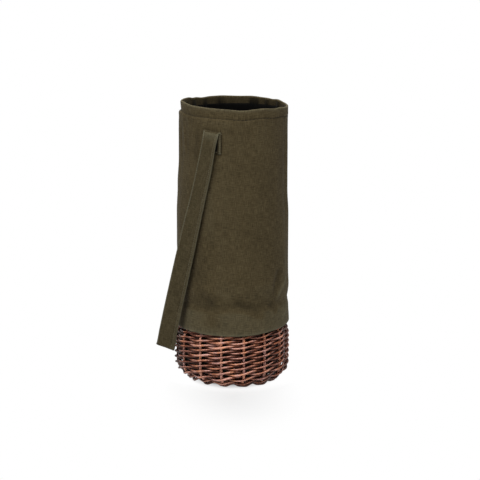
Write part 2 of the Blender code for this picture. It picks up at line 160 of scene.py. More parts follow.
# Canvas cover
CLOTH_COLUMNS = 340
CLOTH_STEP = 1.45 * MM
STITCH_ROW_STEP = 0.35 * MM
CANVAS_THICKNESS = 0.9 * MM
SKIRT_SWELL = 0.5 * MM
SKIRT_FLARE = 1.3 * MM
SKIRT_RISE = 0.6 * MM
SKIRT_SIDE_RISE = 4.0 * MM
SKIRT_TILT = 1.2 * MM
SKIRT_WANDER = 0.2 * MM
SKIRT_REACH = 26 * MM
SKIRT_TURN_IN = 0.62 * MM
HEM_TURN = 8 * MM
SHOULDER_TOP_RISE = 8 * MM
SHOULDER_BOTTOM_DROP = 4 * MM
HEM_DEPTH = 12 * MM
FACING_DEPTH = 13.5 * MM
FACING_LEAN = 1.1 * MM
RIM_ROLL = 0.8 * MM
RIM_ROLL_LIFT = 0.2 * MM
RIM_REACH = 90 * MM
RIM_MIDDLE_DROP = 1.6 * MM
RIM_TILT = 2.9 * MM
RIM_SHIFT = 1.9 * MM
PUCKER_START = 0.35
PUCKER_GATHER = 0.25 * MM
SEAM_AZIMUTH = math.radians(28)
SEAM_STEP = 0.5 * MM
SEAM_EDGE = math.radians(0.9)
SEAM_LAP = 0.12
SWELL_FADE = 34 * MM
REST_CREASES = 26

# Relief of the canvas: how far its creases, folds, gathers and stitching move it
CREASE_SCALE = 2.2 * MM
BROAD_FOLD = 0.36 * MM
FINE_FOLD = 0.13 * MM
GATHER_FOLD = 0.16 * MM
GATHER_UNDER_HEM = 0.05 * MM
GATHER_REACH = 22 * MM
SAG_FOLD = 1.15 * MM
SAG_RISE = 20 * MM
SAG_WIDTH = 13 * MM
DIP_FOLD = 0.55 * MM
DIP_RISE = 5 * MM
DIP_WIDTH = 5 * MM
STITCH_GROOVE = 0.45 * MM
STITCH_GROOVE_WIDTH = 0.7 * MM
NECK_HOLLOW = 0.5 * MM
NECK_AZIMUTH = -84
NECK_WIDTH = 8
NECK_DROP = 5 * MM
NECK_HEIGHT = 6 * MM

# Tones of the canvas, where 0.5 is its plain colour
CANVAS_TONE = 0.5
RELIEF_WEAR_AND_SHADE_TONE = 0.025
GROOVE_SHADE_TONE = 0.15
GROOVE_SHADE_WIDTH = 1.1 * MM
# Pale skirt and rim edges: partly wear, partly painted highlight where the folds catch the light
EDGE_WEAR_AND_HIGHLIGHT_TONE = 0.2
EDGE_WEAR_AND_HIGHLIGHT_SKIRT = 1.6 * MM
EDGE_WEAR_AND_HIGHLIGHT_RIM = 1.5 * MM
# Painted light on the skirt band, which faces a little upwards
SKIRT_PAINTED_LIGHT_TONE = 0.085
TURNED_UP_TONE = 0.4
# The skirt's folded lower edge and the rim's roll are paler: painted highlight, with some wear at the skirt
TURNED_EDGE_WEAR_AND_HIGHLIGHT_TONE = 0.6
ROLL_HIGHLIGHT_TONE = 0.62
# Painted shade inside the mouth, deeper down the facing and in its puckers
FACING_PAINTED_SHADE_TONE = 0.33
FACING_SHADE = 0.2
TURNED_UP_ROWS = 8
ROLL_ROWS = 7
FACING_ROWS = 10

# Lining and padding
LINING_THICKNESS = 0.6 * MM
LINING_TONE = 0.2
LINING_COLUMNS = 168
LINING_ROW = 3 * MM
LINING_SLACK = 0.35 * MM
LINING_FOLD = 0.28 * MM
LINING_GATHER = 0.5 * MM
LINING_PUFF = 0.18 * MM
SLEEVE_BULGE = 1.5 * MM
SLEEVE_START = 5 * MM
SLEEVE_RISE = 16 * MM
SLEEVE_PUCKER = 0.15 * MM
# The sleeve is painted paler, a painted sheen where it shows between the rods
SLEEVE_PAINTED_SHEEN_TONE = 0.64
SLEEVE_COLUMNS = 120
UPPER_FOAM_THICKNESS = 3.5 * MM
LOWER_FOAM_THICKNESS = 3 * MM
FOAM_EDGE = 1.2 * MM
FOAM_TOP_INSET = 0.9 * MM
FOAM_INNER_WAVE = 0.15 * MM
FOAM_OUTER_WAVE = 0.12 * MM
PAD_EDGE = 1.5 * MM
DISC_COLUMNS = 96
CLOTH_GAP = 0.3 * MM

# Strap
STRAP_WIDTH = 23.5 * MM
STRAP_THICKNESS = 2.4 * MM
STRAP_LEAN = math.radians(13.5)
STRAP_REACH = 290 * MM
STRAP_START = 1.6 * MM
STRAP_GROOVE = 0.25 * MM
STRAP_GROOVE_WIDTH = 0.75 * MM
STRAP_STAND_OFF = 2.2 * MM
STRAP_TWIST = math.radians(6)
STRAP_TRAIL = 0.9 * MM
STRAP_SWAY = 0.5 * MM
STRAP_SWAY_LENGTH = 38 * MM
STRAP_SET_SHARE = 0.85
BIGHT_HALF_WIDTH = 61 * MM
BIGHT_CORNER_RADIUS = 3.4 * MM
BIGHT_SAG = 9 * MM
BIGHT_SLANT = 0.32
BIGHT_BACK_GAP = 1.8 * MM
BIGHT_DEPTH = 14 * MM
STRAIGHT_REACH = 53 * MM
BACK_STITCH_INSET = 1.5 * MM
FRONT_STITCH_INSET = 3.6 * MM
PATCH_THICKNESS = 1.4 * MM
PATCH_DROP = 3 * MM
PATCH_SHARE = 0.95
PATCH_POINTS = 41
PATCH_STITCH_INSET = 2.6 * MM
PATCH_STITCH_TOP = 5 * MM
FOLD_RISE = 1.6 * MM
FOLD_POINTS = 13
FOLD_STEPS = 15
# Down the strap's leg in mm: share of the full width, and how far it sits back in mm
STRAP_NARROWING = (
    (0, 0.83, 2.6),
    (13, 0.80, 1.9),
    (18, 0.80, 1.7),
    (25, 0.81, 1.1),
    (38, 0.85, 0.4),
    (52, 0.87, 0.0),
    (65, 0.87, 0.0),
    (90, 0.89, 0.0),
    (110, 0.93, 0.0),
    (140, 0.97, 0.0),
    (175, 1.0, 0.0),
    (280, 1.04, 0.0),
)

# Tones of the strap, where 0.5 is its plain colour
STRAP_TONE = 0.48
# Painted highlight along the strap's edges and beside its stitches, painted shade in the stitched grooves
STRAP_EDGE_HIGHLIGHT_TONE = 0.3
STRAP_STITCH_LIGHT_AND_SHADE_TONE = 0.1
# Painted highlight on the strap's top, by its fold
STRAP_TOP_HIGHLIGHT_TONE = 0.14
STRAP_TOP_HIGHLIGHT_REACH = 11 * MM
# Patch: painted shadow of the strap over its middle, which is also less faded there; painted shade along its
# very edge; pale edges and foot, partly wear and partly painted highlight
PATCH_STRAP_SHADOW_TONE = 0.45
PATCH_EDGE_WEAR_AND_HIGHLIGHT_TONE = 0.2
PATCH_FOOT_WEAR_AND_HIGHLIGHT_TONE = 0.35
PATCH_EDGE_SHADOW_TONE = 0.42

# Thread: the length of a stitch and the gap to the next
THREAD_RADIUS = 0.3 * MM
THREAD_SIDES = 6
STRAP_STITCH = (2.1 * MM, 0.4 * MM)
HEM_STITCH = (3.4 * MM, 1.5 * MM)
SEAM_LINES = (1.5 * MM, 6.5 * MM)
# Along a stitch: share of its length, and height over the cloth in thread radii
STITCH_CURVE = ((0, -1.6), (0.12, 0.1), (0.5, 0.45), (0.88, 0.1), (1, -1.6))

# Camera and stage
VIEW_AZIMUTH = math.radians(-70)
CAMERA_DISTANCE = 2.335
CAMERA_HEIGHT = 0.6696
CAMERA_SIDEWAYS = 9.35 * MM
CAMERA_PITCH = math.radians(-11.9)
CAMERA_LENS = 140.55
CAMERA_SENSOR = 36
CAMERA_CLIP_END = 100
FLOOR_SIZE = 12
FLOOR_GREY = 0.72
WORLD_LIGHT = 0.13
SHADOW_REACH = 105 * MM
SHADOW_FADE = 165 * MM
SHADOW_NARROWING = 1.8
SHADOW_DEPTH = 0.42
CONTACT_START = 44 * MM
CONTACT_END = 53 * MM
CONTACT_LIGHT = 0.2
CONTACT_RING_RISE = (56 * MM, 62 * MM)
CONTACT_RING_FALL = (68 * MM, 86 * MM)
WHITE = (1, 1, 1, 1)
LAMP_TARGET = (0, 0, 0.16)
# Each lamp's azimuth as the camera's, distance, height, size and power
LAMPS = {
    "left": (-116, 1.25, 2.0, 0.4, 17),
    "top": (-84, 1.1, 2.1, 0.25, 24),
    "right": (-15, 1.2, 2.0, 0.7, 15),
    "back": (118, 0.9, 1.9, 0.9, 26),
}


def low(node):
    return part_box(node)[0]


def high(node):
    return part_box(node)[1]


# Places read from the frame
STAKE_TOP = high("stake_01").z
RIM_HEIGHT = high("canvas_shell").z
SKIRT_EDGE = low("canvas_shell").z
SKIRT_RADIUS = high("canvas_shell").x - CANVAS_THICKNESS / 2 + SKIRT_SWELL
BODY_RADIUS = high("upper_foam").x + CLOTH_GAP + CANVAS_THICKNESS / 2
HEM_RADIUS = high("rim_facing").x + CLOTH_GAP + CANVAS_THICKNESS / 2
PATCH_TOP = high("strap_end_left").z
PATCH_BOTTOM = low("strap_end_left").z - PATCH_DROP
PATCH_RADIUS = high("strap_end_right").x - PATCH_THICKNESS / 2
LEG_OFFSET = high("strap_loop").x - STRAP_THICKNESS / 2

# What follows from the sizes above
WEAVE_SWING = STAKE_RADIUS + WEAVER_RADIUS + WILLOW_GAP
FOOT_SWING = STAKE_RADIUS + SOLID_FOOT_WEAVER_RADIUS + WILLOW_GAP
BASE_LEVEL = FOOT_SWING + WEAVER_HALF_SIDE_SHARE * SOLID_FOOT_WEAVER_RADIUS
BASE_SWING = STICK_THICKNESS / 2 + BASE_WEAVER_RADIUS + WILLOW_GAP
CORNER_TOP = BASE_LEVEL + CORNER_RADIUS
CORNER_CENTRE = WALL_STAKE_RADIUS - CORNER_RADIUS
CORNER_TRAVEL = CORNER_RADIUS * math.pi / 2
STAKE_STEP = 2 * math.pi / STAKE_COUNT
TOP_ROW_HEIGHT = STAKE_TOP - STAKE_OVERRUN
PITCH_SHARES = [1] * (HIDDEN_ROWS - 1)
PITCH_SHARES += [1 + (FOOT_PITCH_SHARE - 1) * k / VISIBLE_ROWS for k in range(VISIBLE_ROWS + 1)]
TOP_ROW_PITCH = (TOP_ROW_HEIGHT - CORNER_TOP + CORNER_TRAVEL) / sum(PITCH_SHARES)
VISIBLE_TOP = TOP_ROW_HEIGHT - HIDDEN_ROWS * TOP_ROW_PITCH
HEM_HEIGHT = RIM_HEIGHT - HEM_DEPTH
STRAP_DOWN = np.array([0, math.sin(STRAP_LEAN), -math.cos(STRAP_LEAN)])
STRAP_BACK = np.array([0, math.cos(STRAP_LEAN), math.sin(STRAP_LEAN)])
STRAP_PIVOT = np.array([0, 0, PATCH_TOP])
LEG_TURN = STRAP_REACH - BIGHT_DEPTH
STITCH_LINES = (STRAP_WIDTH / 2 - BACK_STITCH_INSET, FRONT_STITCH_INSET - STRAP_WIDTH / 2)
VIEW_TURN = VIEW_AZIMUTH + math.radians(270)
VIEW_TOWARD = (math.sin(VIEW_AZIMUTH), -math.cos(VIEW_AZIMUTH))
VIEW_RIGHT = (math.cos(VIEW_AZIMUTH), math.sin(VIEW_AZIMUTH))

rng = np.random.default_rng(41)


# Helpers for curves


def ease(share):
    share = np.clip(share, 0, 1)
    return share * share * (3 - 2 * share)


def hump(gap, width):
    """A bell that is 1 where the gap is none and falls to a third at the width."""
    return np.exp(-((gap / width) ** 2))


def wrapped(angle):
    return (angle + math.pi) % (2 * math.pi) - math.pi


def azimuth_of(turn):
    """Degrees from the viewing side."""
    return np.degrees(wrapped(turn - VIEW_TURN))


def turns_round(count):
    return 2 * math.pi * np.arange(count) / count


def unit(vectors):
    return vectors / np.linalg.norm(vectors, axis=-1, keepdims=True)


def on_circle(radius, turn, height):
    radius, turn, height = np.broadcast_arrays(radius, turn, height)
    return np.stack([radius * np.cos(turn), radius * np.sin(turn), height], axis=-1)


def travelled(path):
    steps = np.linalg.norm(np.diff(path, axis=0), axis=1)
    return np.concatenate([[0], np.cumsum(steps)])


def grid(first, second):
    """Pairs of cloth coordinates for each row and column."""
    return np.stack(np.broadcast_arrays(first, second), axis=-1)


def ripples(seed, count, slowest, fastest):
    """A smooth wave of about unit height round the basket; the same seed gives the same wave."""
    draw = np.random.default_rng(seed)
    waves = draw.integers(slowest, fastest + 1, count)
    starts = draw.uniform(0, 2 * math.pi, count)
    climbs = draw.uniform(-1, 1, count)

    def wave(turn, height=0.0, climb_rate=0.0):
        total = 0
        for n, start, climb in zip(waves, starts, climbs):
            total = total + np.sin(n * turn + start + climb * climb_rate * height)
        return total / math.sqrt(count)

    return wave


def rounded(points, cut, steps=5):
    """The path through the points, with each corner cut off at a distance and turned in a short curve."""
    points = np.asarray(points, float)
    path = [points[0]]
    for before, corner, after in zip(points, points[1:], points[2:]):
        back = before - corner
        ahead = after - corner
        start = corner + back * min(0.45, cut / np.linalg.norm(back))
        end = corner + ahead * min(0.45, cut / np.linalg.norm(ahead))
        for t in np.linspace(0, 1, steps):
            path.append((1 - t) ** 2 * start + 2 * t * (1 - t) * corner + t * t * end)
    path.append(points[-1])
    return np.array(path)


# Helpers for meshes


def in_scene(name, data):
    item = bpy.data.objects.new(name, data)
    bpy.context.scene.collection.objects.link(item)
    return item


class Skin:
    """Gathers lofted surfaces into one mesh, with cloth coordinates in metres and a tone for each point."""

    def __init__(self):
        self.points = []
        self.faces = []
        self.corners = []
        self.tones = []
        self.size = 0

    def loft(self, rings, uv, wrap=True, caps=False, tone=0.5):
        """rings is (rows, columns, 3); uv is (rows, columns, 2), with one more column where it wraps."""
        rows, columns = rings.shape[:2]
        index = self.size + np.arange(rows * columns).reshape(rows, columns)
        if wrap:
            index = np.concatenate([index, index[:, :1]], axis=1)
        quads = np.stack([index[:-1, :-1], index[:-1, 1:], index[1:, 1:], index[1:, :-1]], axis=-1)
        corners = np.stack([uv[:-1, :-1], uv[:-1, 1:], uv[1:, 1:], uv[1:, :-1]], axis=2)
        self.faces += quads.reshape(-1, 4).tolist()
        self.corners.append(corners.reshape(-1, 2))
        if caps:
            for row, ring in ((0, index[0, :columns][::-1]), (-1, index[-1, :columns])):
                self.faces.append(ring.tolist())
                self.corners.append(np.repeat(uv[row, :1], columns, axis=0))
        self.points.append(rings.reshape(-1, 3))
        self.tones.append(np.broadcast_to(np.asarray(tone, float), (rows, columns)).ravel())
        self.size += rows * columns

    def build(self, name, material):
        mesh = bpy.data.meshes.new(name)
        mesh.from_pydata(np.concatenate(self.points).tolist(), [], self.faces)
        layer = mesh.uv_layers.new(name="cloth")
        layer.data.foreach_set("uv", np.concatenate(self.corners).astype(np.float32).ravel())
        tones = mesh.attributes.new("tone", "FLOAT", "POINT")
        tones.data.foreach_set("value", np.concatenate(self.tones).astype(np.float32))
        mesh.materials.append(material)
        mesh.shade_smooth()
        piece = in_scene(name, mesh)
        return piece


def place(piece, body, *nodes):
    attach(piece, body)
    if nodes:
        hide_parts(*nodes)


def thickened(piece, thickness):
    """Gives a single surface the cloth's thickness, half to each side."""
    solid = piece.modifiers.new("cloth_thickness", "SOLIDIFY")
    solid.thickness = thickness
    solid.offset = 0
    return piece


def welded(piece, distance=1e-5):
    """Joins points that lie together, such as a closed profile's two ends or a disc's middle."""
    weld = piece.modifiers.new("weld", "WELD")
    weld.merge_threshold = distance
    return piece


def swept(path, outward, outline):
    """Rings of the outline carried along the path; it is (points, 2), or (rows, points, 2)."""
    along = unit(np.gradient(path, axis=0))
    outward = np.broadcast_to(outward, path.shape)
    first = unit(outward - along * np.sum(outward * along, axis=1, keepdims=True))
    second = np.cross(along, first)
    outline = np.broadcast_to(outline, (len(path),) + outline.shape[-2:])
    return path[:, None] + first[:, None] * outline[..., :1] + second[:, None] * outline[..., 1:]


def rod(skin, path, outward, radii, tone, sides=ROD_SIDES, painted_highlight=0.0):
    """A round rod with slightly domed ends; its last argument paints a highlight along its outer and upper
    side and painted shade round the rest.
    """
    dome = np.ones(len(path))
    dome[[0, -1]] = ROD_DOME
    turns = turns_round(sides)
    circle = np.stack([np.cos(turns), np.sin(turns)], axis=-1)
    rings = swept(path, outward, (np.broadcast_to(radii, len(path)) * dome)[:, None, None] * circle)
    girth = 2 * math.pi * np.mean(radii) * np.arange(sides + 1) / sides
    # Painted highlight on the outer upper side, painted shade on the rest of the rod
    painted_pale = painted_highlight * (hump(wrapped(turns - PAINTED_HIGHLIGHT_TURN), PAINTED_HIGHLIGHT_WIDTH) - PAINTED_HIGHLIGHT_MEAN)
    tone = np.asarray(tone, float).reshape(-1, 1) + painted_pale
    uv = grid(travelled(path)[:, None], girth[None])
    skin.loft(rings, uv, caps=True, tone=np.broadcast_to(tone, (len(path), sides)))


# Willow


def stake_radius_at(height):
    drawn_in = ease((height - VISIBLE_TOP + TOP_ROW_PITCH / 2) / TOP_ROW_PITCH)
    return WALL_STAKE_RADIUS + (HIDDEN_STAKE_RADIUS - WALL_STAKE_RADIUS) * drawn_in


def wall_at(travel):
    """Radius, height and outward direction on the stakes' curve, up from the end of its bottom bend."""
    travel = np.asarray(travel, float)
    bend = np.clip(travel / CORNER_RADIUS, -math.pi / 2, 0)
    level = np.minimum(travel + CORNER_TRAVEL, 0)
    height = CORNER_TOP + np.maximum(travel, 0) + CORNER_RADIUS * np.sin(bend)
    in_corner = CORNER_CENTRE + CORNER_RADIUS * np.cos(bend) + level
    radius = np.where(travel >= 0, stake_radius_at(height), in_corner)
    return radius, height, np.cos(bend), np.sin(bend)


def barrel(height, start, rise):
    """How much of the wall's barrel shape shows at a height: none at the foot and none under the canvas."""
    return ease((height - start) / rise) * (1 - ease((height - BARREL_TOP) / BARREL_FALL))


def bulged(path):
    """The willow wall is a little barrel-shaped and leans out most on the side that the strap hangs past."""
    turn = np.arctan2(path[:, 1], path[:, 0])
    height = path[:, 2]
    azimuth = azimuth_of(turn)
    out = BARREL_OUT + WALL_LEAN * hump(azimuth - WALL_LEAN_AZIMUTH, WALL_LEAN_WIDTH)
    raised = FOOT_LIFT * hump(azimuth - FOOT_LIFT_AZIMUTH, FOOT_LIFT_WIDTH)
    in_wall = ease((np.hypot(path[:, 0], path[:, 1]) - FOOT_LIFT_RADIUS) / FOOT_LIFT_FADE)
    raised = raised * (1 - ease(height / FOOT_LIFT_HEIGHT)) * in_wall
    return path + on_circle(out * barrel(height, BARREL_START, BARREL_RISE), turn, raised)


def spread_foot(path, turn, wave):
    """The foot round stands out past the wall and hangs lowest where it passes a stake."""
    lopsided = hump(azimuth_of(turn) - FOOT_LOPSIDED_AZIMUTH, FOOT_LOPSIDED_WIDTH)
    crest = np.maximum(np.cos(wave), 0) ** 2
    spread = FOOT_SPREAD + FOOT_LOPSIDED * lopsided + FOOT_CREST * crest
    return path + on_circle(spread, turn, FOOT_SCALLOP * (np.sin(wave) ** 2 - 1))


def row_travels():
    travels = [TOP_ROW_HEIGHT - CORNER_TOP]
    for share in PITCH_SHARES:
        travels.append(travels[-1] - share * TOP_ROW_PITCH)
    return travels[::-1]


def straightened(wave):
    """A wave of the same height that runs nearly straight from crest to trough and bends shortly there."""
    return np.arcsin(STRAND_BEND_SHARE * wave) / math.asin(STRAND_BEND_SHARE)


def painted_light_by_azimuth(turn):
    """Change of tone, all painted light and shade: palest on the viewing side, where the lamps' highlights
    fall, and darker at its left and right.
    """
    azimuth = azimuth_of(turn)
    painted_pale = PAINTED_LIGHT_BAND_TONE * (hump(azimuth - PAINTED_LIGHT_BAND_AZIMUTH, PAINTED_LIGHT_BAND_WIDTH) - PAINTED_LIGHT_BAND_MEAN)
    return painted_pale - PAINTED_SIDE_SHADE_TONE * hump(np.abs(azimuth) - PAINTED_SIDE_SHADE_AZIMUTH, PAINTED_SIDE_SHADE_WIDTH)


def pairing_row(k, travel, pitch, swing, thickness, material):
    """One round of pairing: a rod that goes round twice, in front of one stake and behind the next."""
    node = f"weave_row_{k:02d}" if k else "foot_row"
    gaps = np.arange(2 * STAKE_COUNT * STRAND_STEPS + 1) / STRAND_STEPS
    turn = STAKE_PHASE + STAKE_STEP * (1 + gaps)
    half_turn = turn / 2
    wave = math.pi * (1 + gaps)
    slow = ripples(200 + k, 5, 1, 4)
    quick = ripples(300 + k, 6, 6, 15)
    rise = (pitch - 2 * thickness - WILLOW_GAP) / 2 + ROD_WOBBLE * quick(half_turn)
    radius, height, out, up = wall_at(travel + rise * np.sin(wave) + ROD_WOBBLE * slow(half_turn))
    reach = swing * straightened(np.cos(wave)) + 0.5 * ROD_WOBBLE * ripples(400 + k, 6, 5, 14)(half_turn)
    path = bulged(on_circle(radius + reach * out, turn, height + reach * up))
    end_gap = unit(path[1] - path[0]) * ROD_END_GAP / 2
    path[0] += end_gap
    path[-1] -= end_gap
    if k == 0:
        path = spread_foot(path, turn, wave)
    radii = thickness * (1 + ROD_SWELL_SHARE * ripples(500 + k, 4, 1, 5)(half_turn))
    path[:, 2] = np.maximum(path[:, 2], radii)
    outward = np.stack([out * np.cos(turn), out * np.sin(turn), up + 0 * turn], axis=-1)
    tone = np.random.default_rng(100 + k).normal(ROW_TONE, ROW_TONE_SPREAD)
    tone = tone + ROW_SLOW_TONE * slow(half_turn + 1) + ROW_QUICK_TONE * quick(half_turn)
    # Painted light and shade by azimuth round the basket
    # Wear and painted shade: paler in front of a stake, darker behind it
    tone = tone + ROW_FRONT_WEAR_AND_SHADE_TONE * np.cos(wave) + painted_light_by_azimuth(turn)
    skin = Skin()
    rod(skin, path, outward, radii, tone, painted_highlight=PAINTED_HIGHLIGHT_TONE)
    place(skin.build(f"willow_{node}", material), "basket", node)


def willow_wall(material):
    travels = row_travels()
    pitches = [above - travel for travel, above in zip(travels, travels[1:])] + [TOP_ROW_PITCH]
    pairing_row(0, travels[0], pitches[0], FOOT_SWING, FOOT_WEAVER_RADIUS, material)
    for k in range(1, len(travels)):
        pairing_row(k, travels[k], pitches[k], WEAVE_SWING, WEAVER_RADIUS, material)


def willow_stakes(material):
    bend = np.linspace(-CORNER_TRAVEL, 0, 10)[:-1]
    upright = np.linspace(0, STAKE_TOP - CORNER_TOP, 34)
    radius, height = wall_at(np.concatenate([bend, upright]))[:2]
    radius = np.concatenate([[STAKE_INNER_RADIUS, CORNER_CENTRE - MM], radius + STAKE_STAND_OUT])
    height = np.concatenate([[BASE_LEVEL, BASE_LEVEL], height])
    for k in range(STAKE_COUNT):
        turn = STAKE_PHASE + k * STAKE_STEP
        swell = ripples(600 + k, 3, 1, 3)(height / STAKE_TOP * math.pi)
        thickness = STAKE_FULLNESS * (STAKE_RADIUS * (1 + STAKE_SWELL_SHARE * swell))
        # Painted light: a pale tone so the shaded stakes show as bright beads
        tone = rng.normal(STAKE_PAINTED_LIGHT_TONE, STAKE_TONE_SPREAD) + STAKE_BAND_TONE * np.sin(height / STAKE_BAND + k)
        # Painted light and shade by azimuth, as on the rows
        tone = tone + STAKE_PAINTED_LIGHT_SHARE * painted_light_by_azimuth(turn)
        skin = Skin()
        outward = np.array([-math.sin(turn), math.cos(turn), 0])
        rod(skin, bulged(on_circle(radius, turn, height)), outward, thickness, tone)
        node = f"stake_{k + 1:02d}"
        place(skin.build(f"willow_{node}", material), "basket", node)


def split_outline():
    """A split stick's section: a rounded rectangle."""
    turns = turns_round(STICK_SIDES)
    box = np.stack([np.cos(turns), np.sin(turns)], axis=-1)
    box = np.sign(box) * np.abs(box) ** STICK_ROUNDNESS
    return box * np.array([STICK_THICKNESS / 2, STICK_WIDTH / 2])


def fan(stake):
    """The two points at which a stick's end spreads out towards a stake."""
    turn = STAKE_PHASE + stake * STAKE_STEP
    reach = STAKE_INNER_RADIUS - WILLOW_GAP
    return [on_circle(FAN_RADIUS, turn, BASE_LEVEL), on_circle(reach, turn, BASE_LEVEL)]


def stick_routes():
    """Five sticks that lie across from left to right, then three over them from back to front."""
    spacing = STICK_WIDTH + WILLOW_GAP
    lower_level = STICK_THICKNESS / 2
    upper_level = lower_level + STICK_THICKNESS + WILLOW_GAP
    lower_half = UPPER_STICKS / 2 * spacing + CROSSING_MARGIN
    upper_half = LOWER_STICKS / 2 * spacing + CROSSING_MARGIN
    routes = []
    middle = LOWER_STICKS // 2
    for k in range(-middle, middle + 1):
        bend = lower_half + (middle - abs(k)) * FAN_STAGGER
        across = [(x, k * spacing, lower_level) for x in (-bend, bend)]
        routes.append(fan(LEFT_FAN_STAKE - k)[::-1] + across + fan(RIGHT_FAN_STAKE + k))
    middle = UPPER_STICKS // 2
    for k in range(-middle, middle + 1):
        bend = upper_half + (middle - abs(k)) * FAN_STAGGER
        route = fan(BACK_FAN_STAKE - k)[::-1] + [(k * spacing, y, upper_level) for y in (bend, -bend)]
        if k in FRONT_FAN_STAKES:
            route += fan(FRONT_FAN_STAKES[k])
        else:
            route[-1] = (k * spacing, -upper_half, upper_level)
        routes.append(route)
    return routes


def base_sticks(material):
    outline = split_outline()
    girth = np.linspace(0, 2 * (STICK_WIDTH + STICK_THICKNESS), len(outline) + 1)
    for k, route in enumerate(stick_routes(), 1):
        path = rounded(route, STICK_BEND)
        skin = Skin()
        rings = swept(path, np.array([0, 0, 1.0]), outline)
        tone = rng.normal(STICK_TONE, STICK_TONE_SPREAD)
        skin.loft(rings, grid(travelled(path)[:, None], girth[None]), caps=True, tone=tone)
        node = f"base_stick_{k}"
        place(skin.build(f"willow_{node}", material), "basket", node)


def base_weaver(material):
    """One rod that goes four times round the base, over one stick and under the next."""
    crossings = BASE_WEAVER_TURNS * STAKE_COUNT
    points = []
    for i in range(crossings + 1):
        turn = STAKE_PHASE + i * STAKE_STEP
        radius = BASE_WEAVER_START + (BASE_WEAVER_END - BASE_WEAVER_START) * i / crossings
        level = BASE_LEVEL + BASE_SWING * (-1) ** i
        half_turn = STICK_WIDTH / 2 / radius
        points += [on_circle(radius, turn - half_turn, level), on_circle(radius, turn + half_turn, level)]
    path = rounded(points, BASE_WEAVER_BEND, 4)
    turns = np.arctan2(path[:, 1], path[:, 0])
    tone = BASE_WEAVER_TONE + BASE_WEAVER_TONE_SPREAD * ripples(77, 5, 2, 9)(turns / 2)
    skin = Skin()
    rod(skin, path, np.array([0, 0, 1.0]), BASE_WEAVER_RADIUS, tone, BASE_WEAVER_SIDES)
    place(skin.build("willow_base_weaver", material), "basket", "base_weaver")


# Canvas cover

# Soft creases: azimuth from the viewing side and height in mm of both ends, half width in mm, strength
VIEWED_CREASES = (
    (0, 114, 34, 91, 6.0, -0.8),
    (73, 135, 50, 110, 2.0, 0.55),
    (58, 150, 46, 118, 4.6, -0.8),
    (72, 92, 56, 82, 2.0, 0.5),
    (42, 108, 51, 93, 4.0, -0.6),
    (-36, 122, -20, 105, 6.5, -0.6),
    (-80, 335, -74, 255, 2.4, 0.5),
    (-71, 332, -66, 280, 2.2, -0.45),
    (-62, 330, -58, 292, 2.6, 0.4),
    (80, 330, 78, 200, 4.0, 0.4),
    (70, 320, 72, 170, 4.5, -0.45),
    (-20, 128, -48, 122, 8.0, 0.4),
    (20, 132, 50, 124, 8.0, 0.4),
)
# Painted pale lines on crease crests, and painted shade in hollows and beside the strap: ends and width as
# above, and change of tone
PAINTED_LIGHT_AND_SHADE_MARKS = [
    (75, 138, 51, 111, 2.4, 0.11),
    (73, 92, 58, 83, 2.3, 0.09),
    (69, 168, 74, 138, 2.2, 0.1),
    (60, 150, 47, 114, 5.0, -0.13),
    (-2, 116, 36, 90, 5.5, -0.1),
    (41, 110, 52, 92, 4.5, -0.08),
    (-36, 126, -18, 104, 8.0, -0.06),
    (-46, 190, -32, 96, 14.0, -0.1),
    (-20, 124, -22, 74, 11.0, -0.08),
    (-42, 190, -52, 140, 2.4, -0.08),
    (-52, 146, -62, 74, 4.5, -0.13),
    (-36.5, 330, -42, 286, 3.4, -0.13),
    (-32, 331, -13, 328, 2.2, -0.09),
    (-30, 300, -22, 180, 7.0, 0.025),
    (60, 320, 64, 180, 10.0, -0.03),
]
# The shade that each sewn strap end throws beside and under itself
for middle in (-20, 160):
    PAINTED_LIGHT_AND_SHADE_MARKS += [(middle + edge, 326, middle + edge, 298, 1.2, -0.14) for edge in (-9.6, 9.6)]
    PAINTED_LIGHT_AND_SHADE_MARKS += [(middle - 11, 298.6, middle + 11, 298.6, 1.0, -0.2)]
# Broad swells: azimuth and half width in degrees, lowest and highest part and size in mm
SIDE_SWELLS = (
    (-90, 34, 268, 349, -1.9),
    (-90, 34, 160, 232, 1.4),
    (90, 34, 126, 228, 1.4),
)
# Dips of the rim: azimuth and half width in degrees, drop in mm
RIM_KINKS = (
    (-72, 12, -1.4),
    (33, 14, -1.9),
    (8, 9, 0.7),
    (59, 9, -1.4),
    (-141, 9, 2.0),
    (-127, 5, 1.2),
    (-155, 8, 0.5),
    (157, 13, -1.5),
    (140, 6, -0.9),
    (123, 9, -1.8),
)
# Puckers of the facing: azimuth and half width in degrees, depth in mm
FACING_PUCKERS = (
    (-144.5, 2.6, 1.7),
    (-127, 3.2, 1.5),
    (-163, 4.0, 0.8),
    (159, 3.0, 2.0),
    (153, 2.2, 1.4),
    (139.6, 2.4, 1.9),
    (121, 3.0, 1.5),
    (-100, 3.2, 1.3),
    (96, 3.0, 1.2),
    (30, 3.2, 1.2),
    (-40, 3.6, 1.3),
    (-10, 3.0, 1.0),
    (62, 3.0, 1.0),
)


def bars(turn, height, table):
    """The sum of soft bars, each of a table's value along a slanting line on the unrolled cloth."""
    total = np.zeros(np.broadcast(turn, height).shape)
    for from_deg, from_mm, to_deg, to_mm, width_mm, value in table:
        middle = VIEW_TURN + math.radians((from_deg + to_deg) / 2)
        x = wrapped(turn - middle) * BODY_RADIUS
        start_x = math.radians(from_deg - to_deg) / 2 * BODY_RADIUS
        start_y = from_mm * MM
        dx = -2 * start_x
        dy = to_mm * MM - start_y
        near = np.clip(((x - start_x) * dx + (height - start_y) * dy) / (dx * dx + dy * dy), 0, 1)
        gap = np.hypot(x - start_x - near * dx, height - start_y - near * dy)
        fade = ease(np.minimum(near, 1 - near) * 4 + 0.15)
        total += value * hump(gap, width_mm * MM) * fade
    return total


